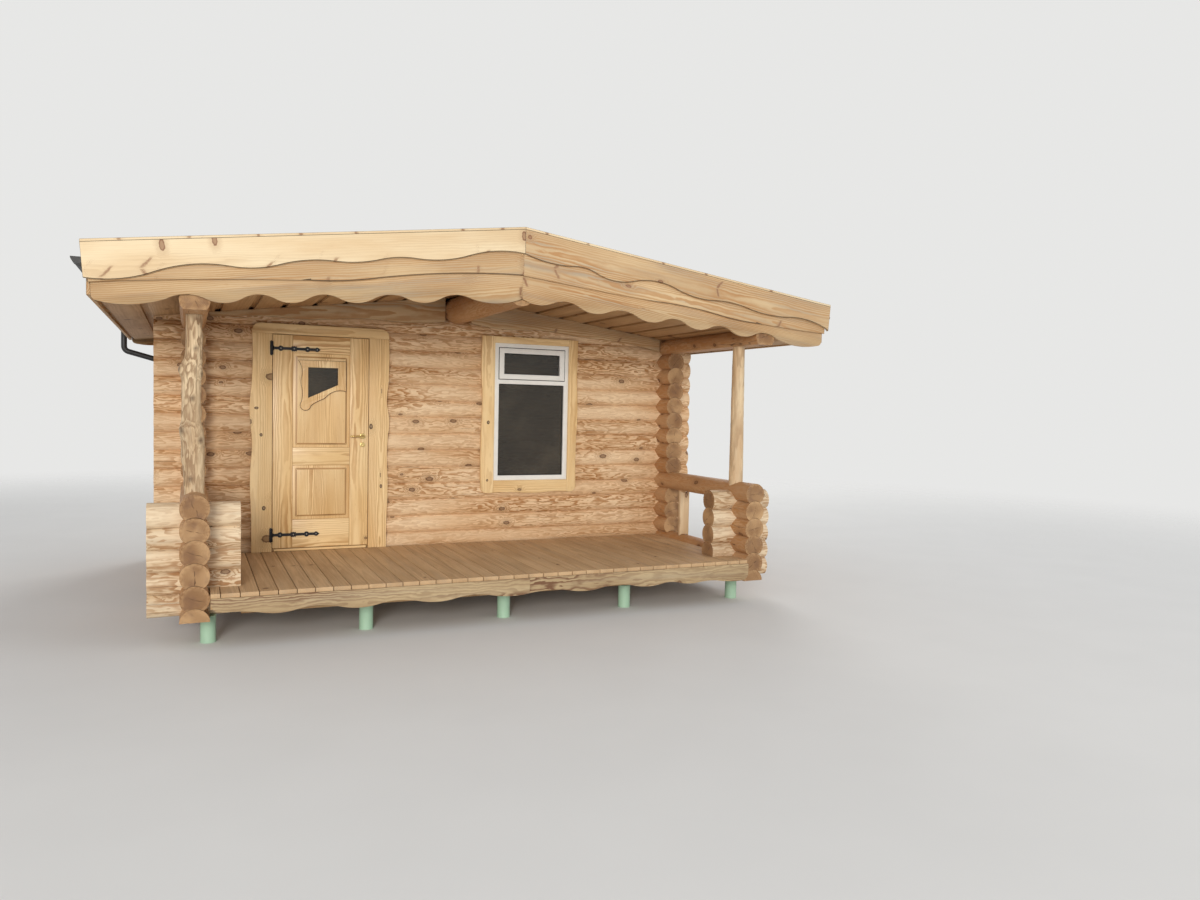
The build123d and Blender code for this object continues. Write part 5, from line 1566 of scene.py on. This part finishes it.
class LOGSAUNA_OT_drainage(LogSaunaOperator):
    """Builds the gutters with their brackets and the downpipes"""

    bl_idname = "log_sauna.drainage"
    bl_label = "Gutters and pipes"

    def build(self, sizes):
        radius, wall = sizes.gutter_radius, 0.003
        outer = [(radius * math.cos(math.pi * k / 20), radius * math.sin(math.pi * k / 20), 0.0) for k in range(21)]
        inner = [(x * (radius - wall) / radius, y * (radius - wall) / radius, 0.0) for x, y, _ in reversed(outer)]
        ring = bpy.data.meshes.new("gutter_outline")
        ring.from_pydata(outer + inner, [(i, (i + 1) % 42) for i in range(42)], [])
        gutters, pipes = gutter_tree(), pipe_tree()
        end = ROOF_END_Y - 0.0005
        for side, label in SIDES:
            x, wall_x = side * GUTTER_X, side * CORNER_X
            mesh = grow(
                "gutter_" + label, gutters, ring, start=(x, -end, GUTTER_Z), end=(x, end, GUTTER_Z),
                gutter_radius=radius - wall / 2, bracket_count=sizes.brackets, plastic=finishes["black"],
            )
            place_piece("gutter_" + label, mesh, "cabin", ["gutters"])
            line = [
                (x, PIPE_Y, 2.6285), (x, PIPE_Y, 2.299), (wall_x, PIPE_Y, 2.109), (wall_x, PIPE_Y, 0.33),
                (wall_x, PIPE_Y + 0.08, 0.26),
            ]
            clips = [([(wall_x, PIPE_Y, z)], {"clip": 1.0}) for z in (0.42, 1.16, 1.96)]
            base = lines_mesh("pipe_line", [(line, {"clip": 0.0})] + clips)
            # The pipe ends get the black rubber finish as painted shade
            mesh = grow(
                "downpipe_" + label, pipes, base, pipe_radius=0.0298, plastic=finishes["black"],
                inside=finishes["seal"],
            )
            place_piece("downpipe_" + label, mesh, "cabin", ["downpipes"])


class LOGSAUNA_OT_fixings(LogSaunaOperator):
    """Sets the screws of the deck and the hinges, and the nails of the felt"""

    bl_idname = "log_sauna.fixings"
    bl_label = "Screws and nails"

    def build(self, sizes):
        tree = head_tree()

        def set_heads(name, points, radius, height, facing, body):
            base = lines_mesh(name + "_points", [([point], {}) for point in points])
            mesh = grow(
                name, tree, base, head_radius=radius, head_height=height, facing=facing, metal=finishes["zinc"],
                recess=finishes["recess"],
            )
            place_piece(name, mesh, body)

        points = []
        for y in DECK_SCREW_ROWS:
            for k in range(-7, 29):
                x = FIRST_DECK_GAP + sizes.deck_pitch * (k + 0.5)
                if abs(x) < 2.2:
                    points += [(x - 0.035, y, DECK_TOP - 0.0006), (x + 0.035, y + 0.004, DECK_TOP - 0.0006)]
        set_heads("deck_screws", points, sizes.screw_radius, 0.0005, (0.0, 0.0, 1.0), "cabin")
        points = [
            (LEAF[0] + 0.0005 + along, LEAF_Y[0] - 0.0042, z) for z in HINGE_HEIGHTS for along, _ in STRAP_BULGES
        ]
        set_heads("hinge_screws", points, 0.0055, 0.0016, (0.0, -1.0, 0.0), "door")
        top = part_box("roof_covering_left")[1].z
        slope = math.atan(ROOF_FALL)
        for side, label in SIDES:
            points = [
                (side * x, -ROOF_END_Y + 0.05 + 0.1502 * k, top - ROOF_FALL * x + 0.0028)
                for x in (0.13 + sizes.felt_lap * row for row in range(4)) for k in range(31) if x < EAVE_X
            ]
            facing = (side * math.sin(slope), 0.0, math.cos(slope))
            set_heads("felt_nails_" + label, points, 0.006, 0.0012, facing, "cabin")


class LOGSAUNA_OT_stage(LogSaunaOperator):
    """Makes the pale floor, the soft lights, the backdrop and the camera"""

    bl_idname = "log_sauna.stage"
    bl_label = "Stage"

    def build(self, sizes):
        scene = bpy.context.scene
        scene.view_settings.view_transform = "Standard"
        material, g, shader = shader_graph("stage_floor")
        place = g.add("ShaderNodeTexCoord").output("Object")
        cloud = g.noise(place, 1.5, 2.0)
        colour = g.blend((0.74, 0.735, 0.72, 1.0), (0.78, 0.775, 0.76, 1.0), cloud)
        surface(g, shader, Base_Color=colour, Roughness=0.9)
        # The floor fades into the backdrop far from the cabin
        clear = g.add("ShaderNodeBsdfTransparent")
        far = g.ease(g.vector("LENGTH", place).output("Value"), 8.0, 17.0)
        solid = Socket(g, shader.outputs["BSDF"])
        mixed = g.add("ShaderNodeMixShader", None, far, solid, clear)
        output = next(n for n in g.tree.nodes if n.type == "OUTPUT_MATERIAL")
        g.feed(output.inputs["Surface"], mixed)
        mesh = bpy.data.meshes.new("floor")
        mesh.from_pydata([(-40, -40, 0), (40, -40, 0), (40, 40, 0), (-40, 40, 0)], [], [(0, 1, 2, 3)])
        mesh.materials.append(material)
        floor = bpy.data.objects.new("floor", mesh)
        scene.collection.objects.link(floor)

        world = bpy.data.worlds.new("studio")
        world.use_nodes = True
        world.node_tree.nodes.clear()
        g = Graph(world.node_tree)
        path = g.add("ShaderNodeLightPath")
        seen = g.math(
            "MAXIMUM", path.output("Is Camera Ray"),
            g.math("MAXIMUM", path.output("Is Glossy Ray"), path.output("Is Transmission Ray")),
        )
        colour = g.blend((0.52, 0.53, 0.545, 1.0), BACKDROP, seen)
        light = g.add("ShaderNodeBackground", Color=colour, Strength=1.0)
        output = g.tree.nodes.new("ShaderNodeOutputWorld")
        g.feed(output.inputs["Surface"], light)
        scene.world = world

        for name, share, size, spot, colour in (
            ("key", 0.52, 6.0, (-8.0, -20.0, 5.2), (1.0, 0.965, 0.91)),
            ("fill", 0.12, 9.0, (14.0, -12.0, 9.0), (0.97, 0.985, 1.0)),
            ("back", 0.30, 9.0, (9.0, 16.0, 11.0), (1.0, 0.99, 0.97)),
        ):
            aim = Vector(LAMPS_AIM) - Vector(spot)
            lamp = bpy.data.lights.new(name, "AREA")
            # A white surface that faces the lamp comes out as bright as the share
            lamp.energy = share * math.pi ** 2 * aim.length_squared
            lamp.size = size
            lamp.color = colour
            holder = bpy.data.objects.new(name, lamp)
            holder.location = spot
            holder.rotation_mode = "QUATERNION"
            holder.rotation_quaternion = aim.to_track_quat("-Z", "Y")
            scene.collection.objects.link(holder)

        yaw, pitch, roll = (math.radians(angle) for angle in CAMERA_ANGLES)
        ahead = Vector((math.sin(yaw) * math.cos(pitch), math.cos(yaw) * math.cos(pitch), math.sin(pitch)))
        level = Vector((math.cos(yaw), -math.sin(yaw), 0.0))
        lift = level.cross(ahead)
        right = level * math.cos(roll) + lift * math.sin(roll)
        up = lift * math.cos(roll) - level * math.sin(roll)
        lens = bpy.data.cameras.new("camera")
        lens.sensor_fit = "HORIZONTAL"
        lens.sensor_width = 36.0
        lens.lens = CAMERA_LENS
        lens.clip_start = 0.05
        lens.clip_end = 200.0
        camera = bpy.data.objects.new("camera", lens)
        turn = Matrix((right, up, -ahead)).transposed().to_4x4()
        camera.matrix_world = Matrix.Translation(CAMERA_PLACE) @ turn
        scene.collection.objects.link(camera)
        scene.camera = camera


OPERATORS = (
    LOGSAUNA_OT_finishes,
    LOGSAUNA_OT_walls,
    LOGSAUNA_OT_corners,
    LOGSAUNA_OT_purlins,
    LOGSAUNA_OT_posts,
    LOGSAUNA_OT_deck,
    LOGSAUNA_OT_base,
    LOGSAUNA_OT_roof,
    LOGSAUNA_OT_barges,
    LOGSAUNA_OT_door,
    LOGSAUNA_OT_ironwork,
    LOGSAUNA_OT_window,
    LOGSAUNA_OT_drainage,
    LOGSAUNA_OT_fixings,
    LOGSAUNA_OT_stage,
)


class LOGSAUNA_PT_panel(bpy.types.Panel):
    """Lists the pieces of the log sauna"""

    bl_idname = "LOGSAUNA_PT_panel"
    bl_label = "Log Sauna"
    bl_space_type = "VIEW_3D"
    bl_region_type = "UI"
    bl_category = "Log Sauna"

    def draw(self, context):
        for operator in OPERATORS:
            self.layout.operator(operator.bl_idname)


CLASSES = (LOGSAUNA_PG_sizes, LOGSAUNA_PG_colours, *OPERATORS, LOGSAUNA_PT_panel)


def register():
    for item in CLASSES:
        bpy.utils.register_class(item)
    bpy.types.Scene.log_sauna_sizes = PointerProperty(type=LOGSAUNA_PG_sizes)
    bpy.types.Scene.log_sauna_colours = PointerProperty(type=LOGSAUNA_PG_colours)


def unregister():
    del bpy.types.Scene.log_sauna_colours
    del bpy.types.Scene.log_sauna_sizes
    for item in reversed(CLASSES):
        bpy.utils.unregister_class(item)


def main():
    register()
    for operator in OPERATORS:
        group, name = operator.bl_idname.split(".")
        getattr(getattr(bpy.ops, group), name)()


if __name__ == "__main__":
    main()
